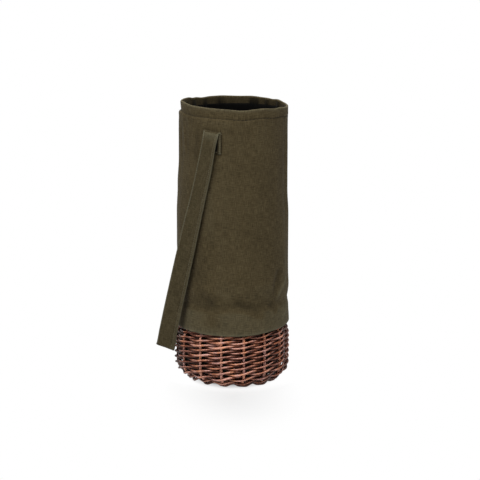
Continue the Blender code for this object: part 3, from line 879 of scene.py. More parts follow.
def rest_creases():
    """Creases of the sides that the photograph doesn't show, of the same kinds and sizes as those seen."""
    draw = np.random.default_rng(9)
    creases = []
    for _ in range(REST_CREASES):
        azimuth = draw.uniform(95, 265)
        kind = draw.integers(3)
        if kind == 0:
            start = draw.uniform(300, 338)
            creases.append((azimuth, start, azimuth + draw.uniform(-4, 4), start - draw.uniform(40, 90)))
        elif kind == 1:
            start = draw.uniform(100, 125)
            lean = draw.uniform(15, 40) * draw.choice((-1, 1))
            creases.append((azimuth, start, azimuth + lean, start - 20))
        else:
            start = draw.uniform(110, 300)
            creases.append((azimuth, start, azimuth + draw.uniform(-12, 12), start - draw.uniform(30, 60)))
        creases[-1] += (draw.uniform(2.4, 6), draw.uniform(0.35, 0.8) * draw.choice((-1, 1)))
    return creases


CREASES = VIEWED_CREASES + tuple(rest_creases())
BROAD = ripples(1, 9, 2, 7)
FINE = ripples(2, 12, 12, 34)
GATHER = ripples(3, 14, 30, 64)


def bumps(turn, table):
    """The sum of round dents or swellings at a table's azimuths."""
    total = 0
    for azimuth, width, depth in table:
        gap = np.degrees(wrapped(turn - VIEW_TURN - math.radians(azimuth)))
        total = total + depth * MM * hump(gap, width)
    return total


def pushed_right(points, height):
    """The hem, and what lies inside it, is pushed towards the viewing side's right."""
    push = RIM_SHIFT * ease((height - HEM_HEIGHT + 3 * MM) / (4.5 * MM))
    points[..., 0] += push * VIEW_RIGHT[0]
    points[..., 1] += push * VIEW_RIGHT[1]
    return points


def rim_drop(turn):
    """How far the rim lies under its full height: it is tilted and has small dips."""
    return RIM_MIDDLE_DROP + RIM_TILT * np.sin(turn - VIEW_TURN) + bumps(turn, RIM_KINKS)


def cloth_radius(height):
    """The cover's middle surface before any creases."""
    flare = SKIRT_FLARE * np.clip((STAKE_TOP - height) / (STAKE_TOP - SKIRT_EDGE), 0, 1)
    shoulder = ease((height - STAKE_TOP + SHOULDER_BOTTOM_DROP) / (SHOULDER_TOP_RISE + SHOULDER_BOTTOM_DROP))
    hem = ease((height - HEM_HEIGHT + 2.5 * MM) / (3.5 * MM))
    top_of_skirt = SKIRT_RADIUS - SKIRT_FLARE
    return top_of_skirt + flare + (BODY_RADIUS - top_of_skirt) * shoulder + (HEM_RADIUS - BODY_RADIUS) * hem


def side_swell(turn, height):
    """Broad swells and hollows that give the cover its outline."""
    total = 0
    for middle, width, bottom, top, size in SIDE_SWELLS:
        above = ease((height - bottom * MM) / SWELL_FADE + 0.5)
        below = ease((top * MM - height) / SWELL_FADE + 0.5)
        total = total + size * MM * hump(azimuth_of(turn) - middle, width) * above * below
    return total


def seam_step(turn):
    """The side seam's lapped edge: it starts sharply and dies away round the basket."""
    past = wrapped(turn - SEAM_AZIMUTH)
    return SEAM_STEP * ease(past / SEAM_EDGE) * (1 - ease((past - SEAM_LAP) / SEAM_LAP))


def cloth_relief(turn, height):
    """How far creases, folds, gathers, the stitched groove and the seam lift the cloth."""
    below_hem = HEM_HEIGHT - height
    above_willow = height - STAKE_TOP
    held = ease((height - SKIRT_EDGE) / (14 * MM))
    free = ease((below_hem + MM) / (3 * MM))
    relief = CREASE_SCALE * bars(turn, height, CREASES) * held
    relief = relief + BROAD_FOLD * BROAD(turn, height, 28) * held * (0.35 + 0.65 * free)
    relief = relief + FINE_FOLD * FINE(turn, height, 60) * (0.4 + 0.6 * free)
    gathered = np.exp(-np.maximum(below_hem, 0) / GATHER_REACH)
    relief = relief + (GATHER_FOLD * free + GATHER_UNDER_HEM) * GATHER(turn, height, 25) * gathered
    relief = relief + SAG_FOLD * hump(above_willow - SAG_RISE, SAG_WIDTH) * (1 + 0.3 * BROAD(turn + 2))
    relief = relief - DIP_FOLD * hump(above_willow - DIP_RISE, DIP_WIDTH)
    relief = relief - STITCH_GROOVE * hump(below_hem, STITCH_GROOVE_WIDTH) * (0.75 + 0.25 * FINE(turn))
    neck = hump(azimuth_of(turn) - NECK_AZIMUTH, NECK_WIDTH) * hump(below_hem - NECK_DROP, NECK_HEIGHT)
    return relief - NECK_HOLLOW * neck + seam_step(turn)


def cloth_point(turn, height, lift=0.0):
    """A point of the cover's middle surface; height is measured as if the rim were level."""
    near_rim = ease((height - RIM_HEIGHT + RIM_REACH) / RIM_REACH)
    near_edge = 1 - ease((height - SKIRT_EDGE) / SKIRT_REACH)
    radius = cloth_radius(height) + cloth_relief(turn, height) + side_swell(turn, height) + lift
    across = np.sin(turn - VIEW_TURN)
    edge_rise = SKIRT_RISE + (SKIRT_SIDE_RISE + SKIRT_TILT * across) * across**2
    edge_rise = edge_rise + SKIRT_WANDER * BROAD(turn + 1)
    point = on_circle(radius, turn, height - rim_drop(turn) * near_rim + edge_rise * near_edge)
    return pushed_right(point, height)


def cover_heights():
    """Heights of the cover's rows, closer together at its edges and at the hem's stitching."""
    body = np.arange(SKIRT_EDGE + 2 * MM, HEM_HEIGHT - 2.5 * MM, CLOTH_STEP)
    fine = np.arange(HEM_HEIGHT - 2.2 * MM, HEM_HEIGHT + 2.2 * MM, STITCH_ROW_STEP)
    hem = np.linspace(HEM_HEIGHT + 2.6 * MM, RIM_HEIGHT - 1.6 * MM, 7)
    return np.concatenate([[SKIRT_EDGE, SKIRT_EDGE + 0.8 * MM], body, fine, hem])


def cover_rings(turn, heights):
    """The cover's rows: its turned-up edge, the outside, the rolled rim and the facing."""
    rows = []
    for height in np.linspace(SKIRT_EDGE + HEM_TURN, SKIRT_EDGE + MM, 4):
        rows.append(cloth_point(turn, height, -2 * SKIRT_TURN_IN))
    for bend in np.linspace(0, math.pi, 5)[:-1]:
        row = cloth_point(turn, np.full_like(turn, SKIRT_EDGE), -SKIRT_TURN_IN * (1 + math.cos(bend)))
        row[:, 2] -= SKIRT_TURN_IN * math.sin(bend)
        rows.append(row)
    rows += [cloth_point(turn, np.full_like(turn, height)) for height in heights]
    top = cloth_point(turn, np.full_like(turn, RIM_HEIGHT - 1.2 * MM))
    inward = -on_circle(1.0, turn, 0.0)
    pucker = bumps(turn, FACING_PUCKERS) + PUCKER_GATHER * GATHER(turn + 2)
    for bend in np.linspace(0, math.pi, ROLL_ROWS):
        turned = 1 - math.cos(bend)
        inset = (RIM_ROLL * turned + pucker * PUCKER_START * turned / 2)[:, None]
        rows.append(top + inward * inset + np.array([0, 0, RIM_ROLL * np.sin(bend) + RIM_ROLL_LIFT]))
    edge = rows[-1]
    for share in np.linspace(0, 1, FACING_ROWS + 1)[1:]:
        growing = (1 - PUCKER_START) * math.sin(share * math.pi * 0.62)
        inset = (FACING_LEAN * share + pucker * growing)[:, None]
        rows.append(edge + inward * inset - np.array([0, 0, FACING_DEPTH * share]))
    return np.array(rows)


def cover_tones(turn, heights):
    """Shade of each row: painted light and shade marks, pale edges that are partly rubbed and partly painted
    highlight, and painted shade in the stitched groove and inside the mouth.
    """
    rows = heights[:, None]
    # Painted light on crease crests, painted shade in hollows, beside the strap and round its sewn ends
    marks = bars(turn[None], rows, PAINTED_LIGHT_AND_SHADE_MARKS)
    # Crests paler, partly wear and partly painted light; hollows darker with painted shade
    relief = np.clip(cloth_relief(turn[None], rows) / MM, -2, 2)
    # Painted shade in the stitched groove
    groove = hump(HEM_HEIGHT - rows, GROOVE_SHADE_WIDTH)
    # Pale edges at the skirt and rim: partly wear, partly painted highlight
    rubbed_and_lit = np.exp(-((rows - SKIRT_EDGE) / EDGE_WEAR_AND_HIGHLIGHT_SKIRT)) + np.exp(-((RIM_HEIGHT - rows) / EDGE_WEAR_AND_HIGHLIGHT_RIM))
    # Painted light on the skirt band over the willow's top
    skirt_light = ease((STAKE_TOP + 4 * MM - rows) / (8 * MM))
    body = CANVAS_TONE + marks + RELIEF_WEAR_AND_SHADE_TONE * relief - GROOVE_SHADE_TONE * groove
    body = body + EDGE_WEAR_AND_HIGHLIGHT_TONE * rubbed_and_lit + SKIRT_PAINTED_LIGHT_TONE * skirt_light
    turned_up = np.full((TURNED_UP_ROWS, len(turn)), TURNED_UP_TONE)
    # The skirt's folded lower edge paler: partly wear, partly painted highlight
    turned_up[-3:] = TURNED_EDGE_WEAR_AND_HIGHLIGHT_TONE
    # Painted highlight along the rim's rolled fold
    roll = np.full((ROLL_ROWS, len(turn)), ROLL_HIGHLIGHT_TONE)
    roll[-2:] = CANVAS_TONE
    # Painted shade inside the mouth, deeper down the facing and in its puckers
    depth = np.linspace(0, 1, FACING_ROWS)[:, None]
    puckered = np.clip(bumps(turn, FACING_PUCKERS) / MM, 0, 1)
    facing = FACING_PAINTED_SHADE_TONE - FACING_SHADE * (depth + puckered)
    return np.concatenate([turned_up, body, roll, facing])


def canvas_cover(material):
    """One cloth, from its turned-in lower edge up over the padding and the rim to the facing's edge."""
    turn = turns_round(CLOTH_COLUMNS)
    heights = cover_heights()
    rings = cover_rings(turn, heights)
    lengths = travelled(rings[:, 0])
    around = BODY_RADIUS * 2 * math.pi * np.arange(CLOTH_COLUMNS + 1) / CLOTH_COLUMNS
    skin = Skin()
    skin.loft(rings, grid(around[None], lengths[:, None]), tone=cover_tones(turn, heights))
    cover = thickened(skin.build("canvas_cover", material), CANVAS_THICKNESS)
    place(cover, "basket", "canvas_shell", "rim_facing")


# Thread


def stitches(skin, points, outward, stitch):
    """A row of running stitches along the points, each a short thread whose ends dip into the cloth."""
    lengths = travelled(points)
    outward = np.broadcast_to(outward, points.shape)
    length, gap = stitch
    pitch = length + gap
    shares, rises = np.array(STITCH_CURVE).T
    for k in range(int(lengths[-1] // pitch)):
        along = k * pitch + gap / 2 + shares * length
        path = np.stack([np.interp(along, lengths, points[:, i]) for i in range(3)], axis=-1)
        out = unit(np.stack([np.interp(along, lengths, outward[:, i]) for i in range(3)], axis=-1))
        path = path + out * (rises * THREAD_RADIUS)[:, None]
        rod(skin, path, out + 1e-6, THREAD_RADIUS, tone=0.5, sides=THREAD_SIDES)


def cover_stitching(name, lines, material):
    """Stitches on the outside of the cover, along lines of (turn, height) pairs."""
    skin = Skin()
    for turn, height in lines:
        points = cloth_point(turn, height, CANVAS_THICKNESS / 2)
        stitches(skin, points, on_circle(1.0, turn, 0.0), HEM_STITCH)
    place(skin.build(name, material), "basket")


def hem_stitching(material):
    turn = np.linspace(0, 2 * math.pi, 4 * CLOTH_COLUMNS)
    cover_stitching("hem_stitching", [(turn, np.full_like(turn, HEM_HEIGHT))], material)


def seam_stitching(material):
    height = np.linspace(SKIRT_EDGE + 4 * MM, HEM_HEIGHT - 3 * MM, 400)
    turns = [np.full_like(height, SEAM_AZIMUTH + offset / BODY_RADIUS) for offset in SEAM_LINES]
    cover_stitching("seam_stitching", [(turn, height) for turn in turns], material)


# Lining and padding


def turned_piece(name, profile, columns, material, relief=None, close=False, tone=0.5):
    """A cloth or pad turned from (radius, height) pairs; relief moves each point outward."""
    if close:
        profile = list(profile) + [profile[0]]
    turn = turns_round(columns)
    rings = []
    for radius, height in profile:
        moved = relief(turn, radius, height) if relief else 0
        rings.append(pushed_right(on_circle(radius + moved, turn, height), height))
    profile = np.asarray(profile, float)
    around = float(np.mean(profile[:, 0])) * 2 * math.pi * np.arange(columns + 1) / columns
    skin = Skin()
    skin.loft(np.array(rings), grid(around[None], travelled(profile)[:, None]), tone=tone)
    return skin.build(name, material)


def closed_middle(piece, columns):
    """Closes the small ring at a disc's middle."""
    mesh = bmesh.new()
    mesh.from_mesh(piece.data)
    mesh.verts.ensure_lookup_table()
    mesh.faces.new([mesh.verts[k] for k in range(columns)][::-1])
    bmesh.ops.recalc_face_normals(mesh, faces=mesh.faces)
    mesh.to_mesh(piece.data)
    mesh.free()
    piece.data.shade_smooth()


def lining_wall(material):
    """The liner's wall: gathered under the facing, stepped in over the willow's top, down to the floor."""
    upper = high("upper_foam").x - UPPER_FOAM_THICKNESS - CLOTH_GAP - LINING_THICKNESS / 2
    lower = high("lower_foam").x - LOWER_FOAM_THICKNESS - CLOTH_GAP - LINING_THICKNESS / 2
    floor_top = high("lining_floor").z
    folds = ripples(21, 10, 9, 24)
    broad = ripples(22, 6, 2, 6)

    def relief(turn, radius, height):
        slack = LINING_SLACK * broad(turn, height, 30) + LINING_FOLD * folds(turn, height, 12)
        top = ease((height - RIM_HEIGHT + 40 * MM) / (26 * MM))
        return -np.abs(slack) - LINING_GATHER * top * np.abs(folds(turn, height, 3))

    profile = [(upper + 0.9 * MM, HEM_HEIGHT + 1.2 * MM), (upper + 0.5 * MM, HEM_HEIGHT - MM)]
    profile += [(upper, h) for h in np.arange(HEM_HEIGHT - 4 * MM, STAKE_TOP + 12 * MM, -LINING_ROW)]
    for share in np.linspace(0, 1, 9):
        profile.append((upper + (lower - upper) * ease(share), STAKE_TOP + (9 - 15 * share) * MM))
    profile += [(lower, h) for h in np.arange(STAKE_TOP - 9 * MM, floor_top + 2 * MM, -LINING_ROW)]
    profile += [(lower, floor_top + 0.4 * MM)]
    piece = turned_piece(
        "lining_inner_wall", profile, LINING_COLUMNS, material, relief, tone=LINING_TONE
    )
    place(thickened(piece, LINING_THICKNESS), "basket", "lining_wall")


def lining_floor(material):
    """A round of lining on the base pad, a little puffed."""
    radius = high("lining_floor").x
    middle = (low("lining_floor").z + high("lining_floor").z) / 2
    puff = ripples(23, 6, 3, 8)
    shares = (0.02, 0.15, 0.35, 0.55, 0.75, 0.9, 1)
    disc = [(radius * share, middle + 0.25 * MM * math.cos(6 * share)) for share in shares]
    floor = turned_piece("lining_inner_floor", disc, DISC_COLUMNS, material)
    closed_middle(floor, DISC_COLUMNS)
    for vertex in floor.data.vertices:
        turn = math.atan2(vertex.co.y, vertex.co.x)
        vertex.co.z += LINING_PUFF * float(puff(turn)) * (vertex.co.xy.length / radius)
    place(thickened(floor, LINING_THICKNESS / 2), "basket", "lining_floor")


def liner_sleeve(material):
    """The cloth cup round the padding inside the willow."""
    bottom = low("liner_sleeve").z + LINING_THICKNESS / 2
    top = high("liner_sleeve").z
    bend_radius = CORNER_TOP - bottom
    radius = CORNER_CENTRE + bend_radius
    slack = ripples(31, 8, 5, 18)

    def relief(turn, radius, height):
        puckered = SLEEVE_PUCKER * np.abs(slack(turn, height, 20)) * (height > CORNER_TOP)
        return SLEEVE_BULGE * barrel(height, SLEEVE_START, SLEEVE_RISE) - puckered

    profile = [(0.4 * MM, bottom), (CORNER_CENTRE * 0.5, bottom)]
    for bend in np.linspace(0, math.pi / 2, 7):
        out = CORNER_CENTRE + bend_radius * math.sin(bend)
        profile.append((out, CORNER_TOP - bend_radius * math.cos(bend)))
    profile += [(radius, h) for h in np.linspace(CORNER_TOP + 3 * MM, top, 24)]
    # The sleeve's tone is a painted sheen seen between the rods
    piece = turned_piece(
        "lining_outer_sleeve", profile, SLEEVE_COLUMNS, material, relief, tone=SLEEVE_PAINTED_SHEEN_TONE
    )
    closed_middle(piece, SLEEVE_COLUMNS)
    place(thickened(piece, LINING_THICKNESS * 0.8), "basket", "liner_sleeve")


def wall_profile(outer, inner, bottom, top):
    """The closed section of a foam wall with rounded edges, from its outer bottom edge round."""
    points = []
    for centre_radius, centre_height, start in (
        (outer - FOAM_EDGE, bottom + FOAM_EDGE, -90),
        (outer - FOAM_EDGE, top - FOAM_EDGE, 0),
        (inner + FOAM_EDGE, top - FOAM_EDGE, 90),
        (inner + FOAM_EDGE, bottom + FOAM_EDGE, 180),
    ):
        for angle in np.radians(start + 90 * np.arange(5) / 4):
            out = centre_radius + FOAM_EDGE * math.cos(angle)
            points.append((out, centre_height + FOAM_EDGE * math.sin(angle)))
        if start == -90:
            points += [(outer, h) for h in np.arange(bottom + 3 * MM, top - 2 * MM, 3 * MM)]
    return points


def padding_wall(name, node, thickness, material):
    """A foam wall hidden by the cloth; where the cover dips in, the upper one is pressed with it."""
    outer = high(node).x
    swell = ripples(41, 6, 3, 11)

    def relief(turn, radius, height):
        uneven = np.abs(swell(turn, height, 20))
        if radius < outer - thickness / 2:
            return FOAM_INNER_WAVE * uneven
        drawn_in = FOAM_TOP_INSET * ease((height - HEM_HEIGHT + 16 * MM) / (12 * MM))
        pressed = 0
        if node == "upper_foam":
            level = height + rim_drop(turn)
            pressed = np.minimum(cloth_relief(turn, level) + side_swell(turn, level), 0)
        return pressed - drawn_in - FOAM_OUTER_WAVE * uneven

    profile = wall_profile(outer, outer - thickness, low(node).z, high(node).z)
    piece = turned_piece(name, profile, DISC_COLUMNS, material, relief, close=True)
    place(welded(piece), "basket", node)


def padding_disc(material):
    """The foam disc that the lining's floor lies on, with rounded edges."""
    radius = high("base_pad").x
    bottom = low("base_pad").z
    top = high("base_pad").z
    rim = radius - PAD_EDGE
    profile = [(0.0, bottom), (radius * 0.5, bottom), (rim, bottom)]
    for angle in (0.5, 1.0, 1.57):
        profile.append((rim + PAD_EDGE * math.sin(angle), bottom + PAD_EDGE - PAD_EDGE * math.cos(angle)))
    for angle in (0.0, 0.6, 1.1, 1.57):
        profile.append((rim + PAD_EDGE * math.cos(angle), top - PAD_EDGE + PAD_EDGE * math.sin(angle)))
    profile += [(radius * 0.5, top), (0.0, top)]
    piece = turned_piece("padding_base", profile, DISC_COLUMNS, material)
    place(welded(piece), "basket", "base_pad")


# Strap


def strap_outline(points=29):
    """The strap's flat section: soft edges and a shallow groove along each line of stitches."""
    side = np.linspace(-1, 1, points)
    side = np.sign(side) * np.abs(side) ** 0.8
    across = side * STRAP_WIDTH / 2
    half = np.maximum(STRAP_THICKNESS / 2 * (1 - np.abs(side) ** 12) ** 0.5, 0.2 * STRAP_THICKNESS)
    for line in STITCH_LINES:
        half = half - STRAP_GROOVE * hump(across - line, STRAP_GROOVE_WIDTH)
    top = np.stack([across, half], axis=-1)
    bottom = np.stack([across[::-1], -half[::-1]], axis=-1)
    return np.concatenate([top, bottom])[::-1]


def strap_tones(across):
    """Painted highlight along the edges and beside the stitches, painted shade in the stitched grooves."""
    tone = STRAP_TONE + STRAP_EDGE_HIGHLIGHT_TONE * hump(STRAP_WIDTH / 2 - np.abs(across), 0.9 * MM)
    for line in STITCH_LINES:
        # Painted light on the ridge beside each stitch line, painted shade in its groove
        ridge = line + math.copysign(1.3 * MM, line)
        tone = tone + STRAP_STITCH_LIGHT_AND_SHADE_TONE * (hump(across - ridge, 0.8 * MM) - hump(across - line, 0.8 * MM))
    return tone


def strap_half():
    """Half of the loop as (side, reach) pairs: down one leg, round its fold and across to the middle."""
    corner_turn = math.pi / 2 - math.atan(2 * BIGHT_SAG / BIGHT_HALF_WIDTH)
    leg_end = STRAP_REACH - BIGHT_CORNER_RADIUS * math.sin(corner_turn)
    points = []
    for reach in np.linspace(STRAP_START, leg_end, 60):
        drawn_in = (max(reach - STRAIGHT_REACH, 0) / (leg_end - STRAIGHT_REACH)) ** 2
        points.append((LEG_OFFSET + (BIGHT_HALF_WIDTH - LEG_OFFSET) * drawn_in, reach))
    for bend in np.linspace(0, corner_turn, 8)[1:]:
        side = BIGHT_HALF_WIDTH - BIGHT_CORNER_RADIUS * (1 - math.cos(bend))
        points.append((side, leg_end + BIGHT_CORNER_RADIUS * math.sin(bend)))
    side, reach = points[-1]
    for across in np.linspace(1, 0, 22)[1:]:
        points.append((side * across, reach + BIGHT_SAG * (1 - across * across)))
    return np.array(points)


def bight_bulge(side):
    """How far the strap's lower end stands back, so that it passes clear of the willow."""
    behind = WALL_STAKE_RADIUS + WEAVE_SWING + WEAVER_RADIUS + BIGHT_BACK_GAP
    loop_middle = STRAP_REACH + BIGHT_SAG
    centre = behind / math.cos(STRAP_LEAN) + STRAP_WIDTH / 2 - loop_middle * math.tan(STRAP_LEAN)
    arch = centre * (1 - (side / BIGHT_HALF_WIDTH) ** 2)
    return np.maximum(np.minimum(arch, BIGHT_SLANT * (BIGHT_HALF_WIDTH - np.abs(side))), 0)


def strap_path():
    half = strap_half()
    side = np.concatenate([-half[:, 0], half[-2::-1, 0]])
    reach = np.concatenate([half[:, 1], half[-2::-1, 1]])
    bulge = np.where(reach > LEG_TURN, bight_bulge(side), 0)
    sway = STRAP_SWAY * np.sin(reach / STRAP_SWAY_LENGTH) * ease((reach - STRAIGHT_REACH) / (60 * MM))
    path = STRAP_PIVOT + reach[:, None] * STRAP_DOWN + bulge[:, None] * STRAP_BACK
    path[:, 0] += side + sway * np.sign(side) * (reach < LEG_TURN)
    return path


def drop_of(path):
    """How far each point of the strap's path lies from its hinge line."""
    return np.linalg.norm((path - STRAP_PIVOT)[:, 1:], axis=1)


def strap_course():
    """The strap's middle line, the direction to its back edge and its width at each point."""
    path = strap_path()
    reach = drop_of(path)
    side = np.sign(path[:, 0])[:, None]
    marks = np.array(STRAP_NARROWING)
    share = np.interp(reach, marks[:, 0] * MM, marks[:, 1])[:, None]
    set_back = np.interp(reach, marks[:, 0] * MM, marks[:, 2])[:, None] * MM
    stand_off = STRAP_STAND_OFF * ease(reach / (16 * MM)) * (1 - ease((reach - 22 * MM) / (60 * MM)))
    twist = STRAP_TWIST * ease(reach / (40 * MM)) * (1 - ease((reach - 90 * MM) / (80 * MM)))
    path = path + STRAP_BACK * (set_back - (1 - share) * STRAP_WIDTH / 2 * STRAP_SET_SHARE)
    path = path + STRAP_BACK * STRAP_TRAIL * ease((reach - 120 * MM) / (150 * MM))[:, None]
    path[:, 0] += side[:, 0] * stand_off
    back = STRAP_BACK * np.cos(twist)[:, None] - side * np.array([1, 0, 0]) * np.sin(twist)[:, None]
    return path, back, STRAP_WIDTH * share


def strap_loop(material, thread):
    path, back, width = strap_course()
    outline = strap_outline()
    scale = np.stack([width / STRAP_WIDTH, np.ones_like(width)], axis=-1)
    girth = travelled(outline)
    girth = np.append(girth, girth[-1] + MM)
    # Painted highlight on the strap's top, by its fold
    top = STRAP_TOP_HIGHLIGHT_TONE * np.exp(-((drop_of(path)[:, None] / STRAP_TOP_HIGHLIGHT_REACH) ** 4))
    skin = Skin()
    uv = grid(girth[None], travelled(path)[:, None])
    skin.loft(swept(path, back, outline * scale), uv, caps=True, tone=strap_tones(outline[:, 0])[None] + top)
    place(skin.build("carry_strap", material), "strap", "strap_loop")
    face = np.cross(unit(np.gradient(path, axis=0)), back)
    skin = Skin()
    for line in STITCH_LINES:
        for front in (-1, 1):
            row = path + back * line * width / STRAP_WIDTH
            row = row + face * front * (STRAP_THICKNESS / 2 - STRAP_GROOVE)
            stitches(skin, row, face * front, STRAP_STITCH)
    place(skin.build("strap_stitching", thread), "strap")


def strap_patch(name, side, material, thread):
    """A sewn end of the strap on the canvas, with its edges folded under and a box of stitches."""
    middle = math.pi if side < 0 else 0.0
    half = PATCH_SHARE * STRAP_WIDTH / 2
    across = np.linspace(-half, half, PATCH_POINTS)
    across = np.concatenate([across, across[::-1]])
    outer = np.arange(2 * PATCH_POINTS) < PATCH_POINTS
    share = np.abs(across) / half
    lift = np.where(outer, 1, -1) * PATCH_THICKNESS / 2 * np.sqrt(np.maximum(1 - share**8, 0.03))
    heights = np.linspace(PATCH_BOTTOM + 2 * MM, PATCH_TOP - 2 * MM, 14)
    heights = np.concatenate([[PATCH_BOTTOM, PATCH_BOTTOM + 0.5 * MM], heights])
    fullness = [0.35, 0.9] + [1.0] * 14
    turn = middle + across / PATCH_RADIUS
    rings = []
    for height, full in zip(heights, fullness):
        up = ease((height - PATCH_BOTTOM) / (PATCH_TOP - PATCH_BOTTOM))
        skew = -side * math.tan(STRAP_LEAN / 2) * across * up
        rings.append(on_circle(PATCH_RADIUS + lift * full, turn, height + skew))
    around = np.concatenate([[0], np.cumsum(np.abs(np.diff(across)) + 0.02 * MM)])
    around = np.append(around, around[-1] + MM)
    above = (heights - PATCH_BOTTOM)[:, None]
    # Pale patch edges and foot: partly wear, partly painted highlight
    rubbed_and_lit = PATCH_EDGE_WEAR_AND_HIGHLIGHT_TONE * hump(share - 0.83, 0.1) + PATCH_FOOT_WEAR_AND_HIGHLIGHT_TONE * np.exp(-above / (1.2 * MM))
    # Painted shadow of the strap over the patch's middle, where the cloth is also less faded
    unfaded_and_shadowed = PATCH_STRAP_SHADOW_TONE * np.exp(-((share / 0.64) ** 12))
    # Painted shade along the patch's very edge
    shaded = PATCH_EDGE_SHADOW_TONE * hump(1 - share, 0.07)
    skin = Skin()
    uv = grid(around[None], above)
    skin.loft(np.array(rings), uv, caps=True, tone=STRAP_TONE + rubbed_and_lit - unfaded_and_shadowed - shaded)
    place(skin.build(f"strap_end_patch_{name}", material), "basket", f"strap_end_{name}")
    bottom = PATCH_BOTTOM + PATCH_STITCH_INSET
    top = PATCH_TOP - PATCH_STITCH_TOP
    corners = np.array([(-1, bottom), (1, bottom), (1, top), (-1, top)])
    skin = Skin()
    for (from_share, from_height), (to_share, to_height) in zip(corners, np.roll(corners, -1, axis=0)):
        turn = middle + np.linspace(from_share, to_share, 40) * (half - PATCH_STITCH_INSET) / PATCH_RADIUS
        row = on_circle(PATCH_RADIUS + PATCH_THICKNESS / 2, turn, np.linspace(from_height, to_height, 40))
        stitches(skin, row, on_circle(1.0, turn, 0.0), STRAP_STITCH)
    place(skin.build(f"strap_end_stitching_{name}", thread), "basket")


def strap_fold(name, side, material):
    """The hairpin between the strap's sewn patch and its hanging leg."""
    half = STRAP_WIDTH / 2
    across = np.linspace(-1, 1, FOLD_POINTS)
    middle = math.pi if side < 0 else 0.0
    patch_edge = on_circle(PATCH_RADIUS, middle + side * across * half / PATCH_RADIUS, PATCH_TOP - 2.4 * MM)
    patch_edge[:, 2] += np.tan(STRAP_LEAN / 2) * across * half
    narrow, set_back = STRAP_NARROWING[0][1:]
    leg_edge = STRAP_PIVOT + STRAP_DOWN * 2.2 * MM + set_back * MM * STRAP_BACK
    leg_edge = leg_edge + (across[:, None] * narrow - STRAP_SET_SHARE * (1 - narrow)) * half * STRAP_BACK
    leg_edge[:, 0] += side * (LEG_OFFSET + 0.1 * MM)
    shares = np.linspace(0, 1, FOLD_STEPS)
    swing = ((1 - np.cos(math.pi * shares)) / 2)[:, None, None]
    centre = patch_edge * (1 - swing) + leg_edge * swing
    centre[..., 2] += FOLD_RISE * np.sin(math.pi * shares)[:, None]
    thick = PATCH_THICKNESS / 2 * (1 - shares) + STRAP_THICKNESS / 2 * shares
    normal = unit(np.cross(unit(np.gradient(centre, axis=0)), unit(np.gradient(centre, axis=1))))
    edge = np.sqrt(np.maximum(1 - np.abs(across) ** 8, 0.03))
    offset = normal * (thick[:, None] * 0.92 * edge)[..., None]
    rings = np.concatenate([centre + offset, (centre - offset)[:, ::-1]], axis=1)
    tones = strap_tones(np.concatenate([across, across[::-1]]) * half)[None]
    if side < 0:
        rings = rings[:, ::-1]
        tones = tones[:, ::-1]
    around = STRAP_WIDTH / (FOLD_POINTS - 1) * np.arange(rings.shape[1] + 1)
    lengths = travelled(centre[:, FOLD_POINTS // 2])
    skin = Skin()
    skin.loft(rings, grid(around[None], lengths[:, None]), caps=True, tone=tones)
    piece = skin.build(f"strap_fold_{name}", material)
    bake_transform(piece)


# Shader helpers


def add_node(tree, kind, inputs=(), **settings):
    made = tree.nodes.new(kind)
    for name, value in settings.items():
        setattr(made, name, value)
    for socket, value in dict(inputs).items():
        if isinstance(value, bpy.types.NodeSocket):
            tree.links.new(value, made.inputs[socket])
        else:
            made.inputs[socket].default_value = value
    return made


def sums(tree, operation, a, b=0.0, clamp=False):
    return add_node(tree, "ShaderNodeMath", {0: a, 1: b}, operation=operation, use_clamp=clamp).outputs[0]


def vector_sum(tree, operation, a, b=(0, 0, 0)):
    return add_node(tree, "ShaderNodeVectorMath", {0: a, 1: b}, operation=operation).outputs


def dimmed(tree, colour, share):
    return add_node(tree, "ShaderNodeVectorMath", {0: colour, "Scale": share}, operation="SCALE").outputs[0]


def blended(tree, share, a, b):
    return add_node(tree, "ShaderNodeMix", {0: share, 6: a, 7: b}, data_type="RGBA").outputs[2]


def noise(tree, vector, scale, detail=3.0, roughness=0.5, distortion=0.0):
    inputs = {"Vector": vector, "Scale": scale, "Detail": detail}
    inputs |= {"Roughness": roughness, "Distortion": distortion}
    return add_node(tree, "ShaderNodeTexNoise", inputs).outputs["Fac"]


def streaks(tree, vector, stretch, **settings):
    """Noise that is drawn out along the cloth or rod."""
    return noise(tree, vector_sum(tree, "MULTIPLY", vector, stretch)[0], 1.0, **settings)


def ramped(tree, value, low_end, high_end, bottom=0.0, top=1.0):
    inputs = {"Value": value, "From Min": low_end, "From Max": high_end, "To Min": bottom, "To Max": top}
    return add_node(tree, "ShaderNodeMapRange", inputs).outputs[0]


def varied(tree, total, parts):
    """Adds to a value how far each part is from its middle, times the part's weight."""
    for part, middle, weight in parts:
        change = sums(tree, "MULTIPLY", sums(tree, "SUBTRACT", part, middle), weight)
        total = sums(tree, "ADD", total, change)
    return total


# Materials


def new_group(name, vectors, colours, values):
    """A node group with these inputs, which puts out a colour, a height and a roughness."""
    group = bpy.data.node_groups.new(name, "ShaderNodeTree")
    for kind, sockets in (("Vector", vectors), ("Color", colours), ("Float", values)):
        for socket in sockets:
            group.interface.new_socket(socket, in_out="INPUT", socket_type=f"NodeSocket{kind}")
    for socket, kind in (("Colour", "Color"), ("Height", "Float"), ("Roughness", "Float")):
        group.interface.new_socket(socket, in_out="OUTPUT", socket_type=f"NodeSocket{kind}")
    return group, add_node(group, "NodeGroupInput").outputs


def put_out(group, colour, height, roughness):
    add_node(group, "NodeGroupOutput", {"Colour": colour, "Height": height, "Roughness": roughness})
    return group


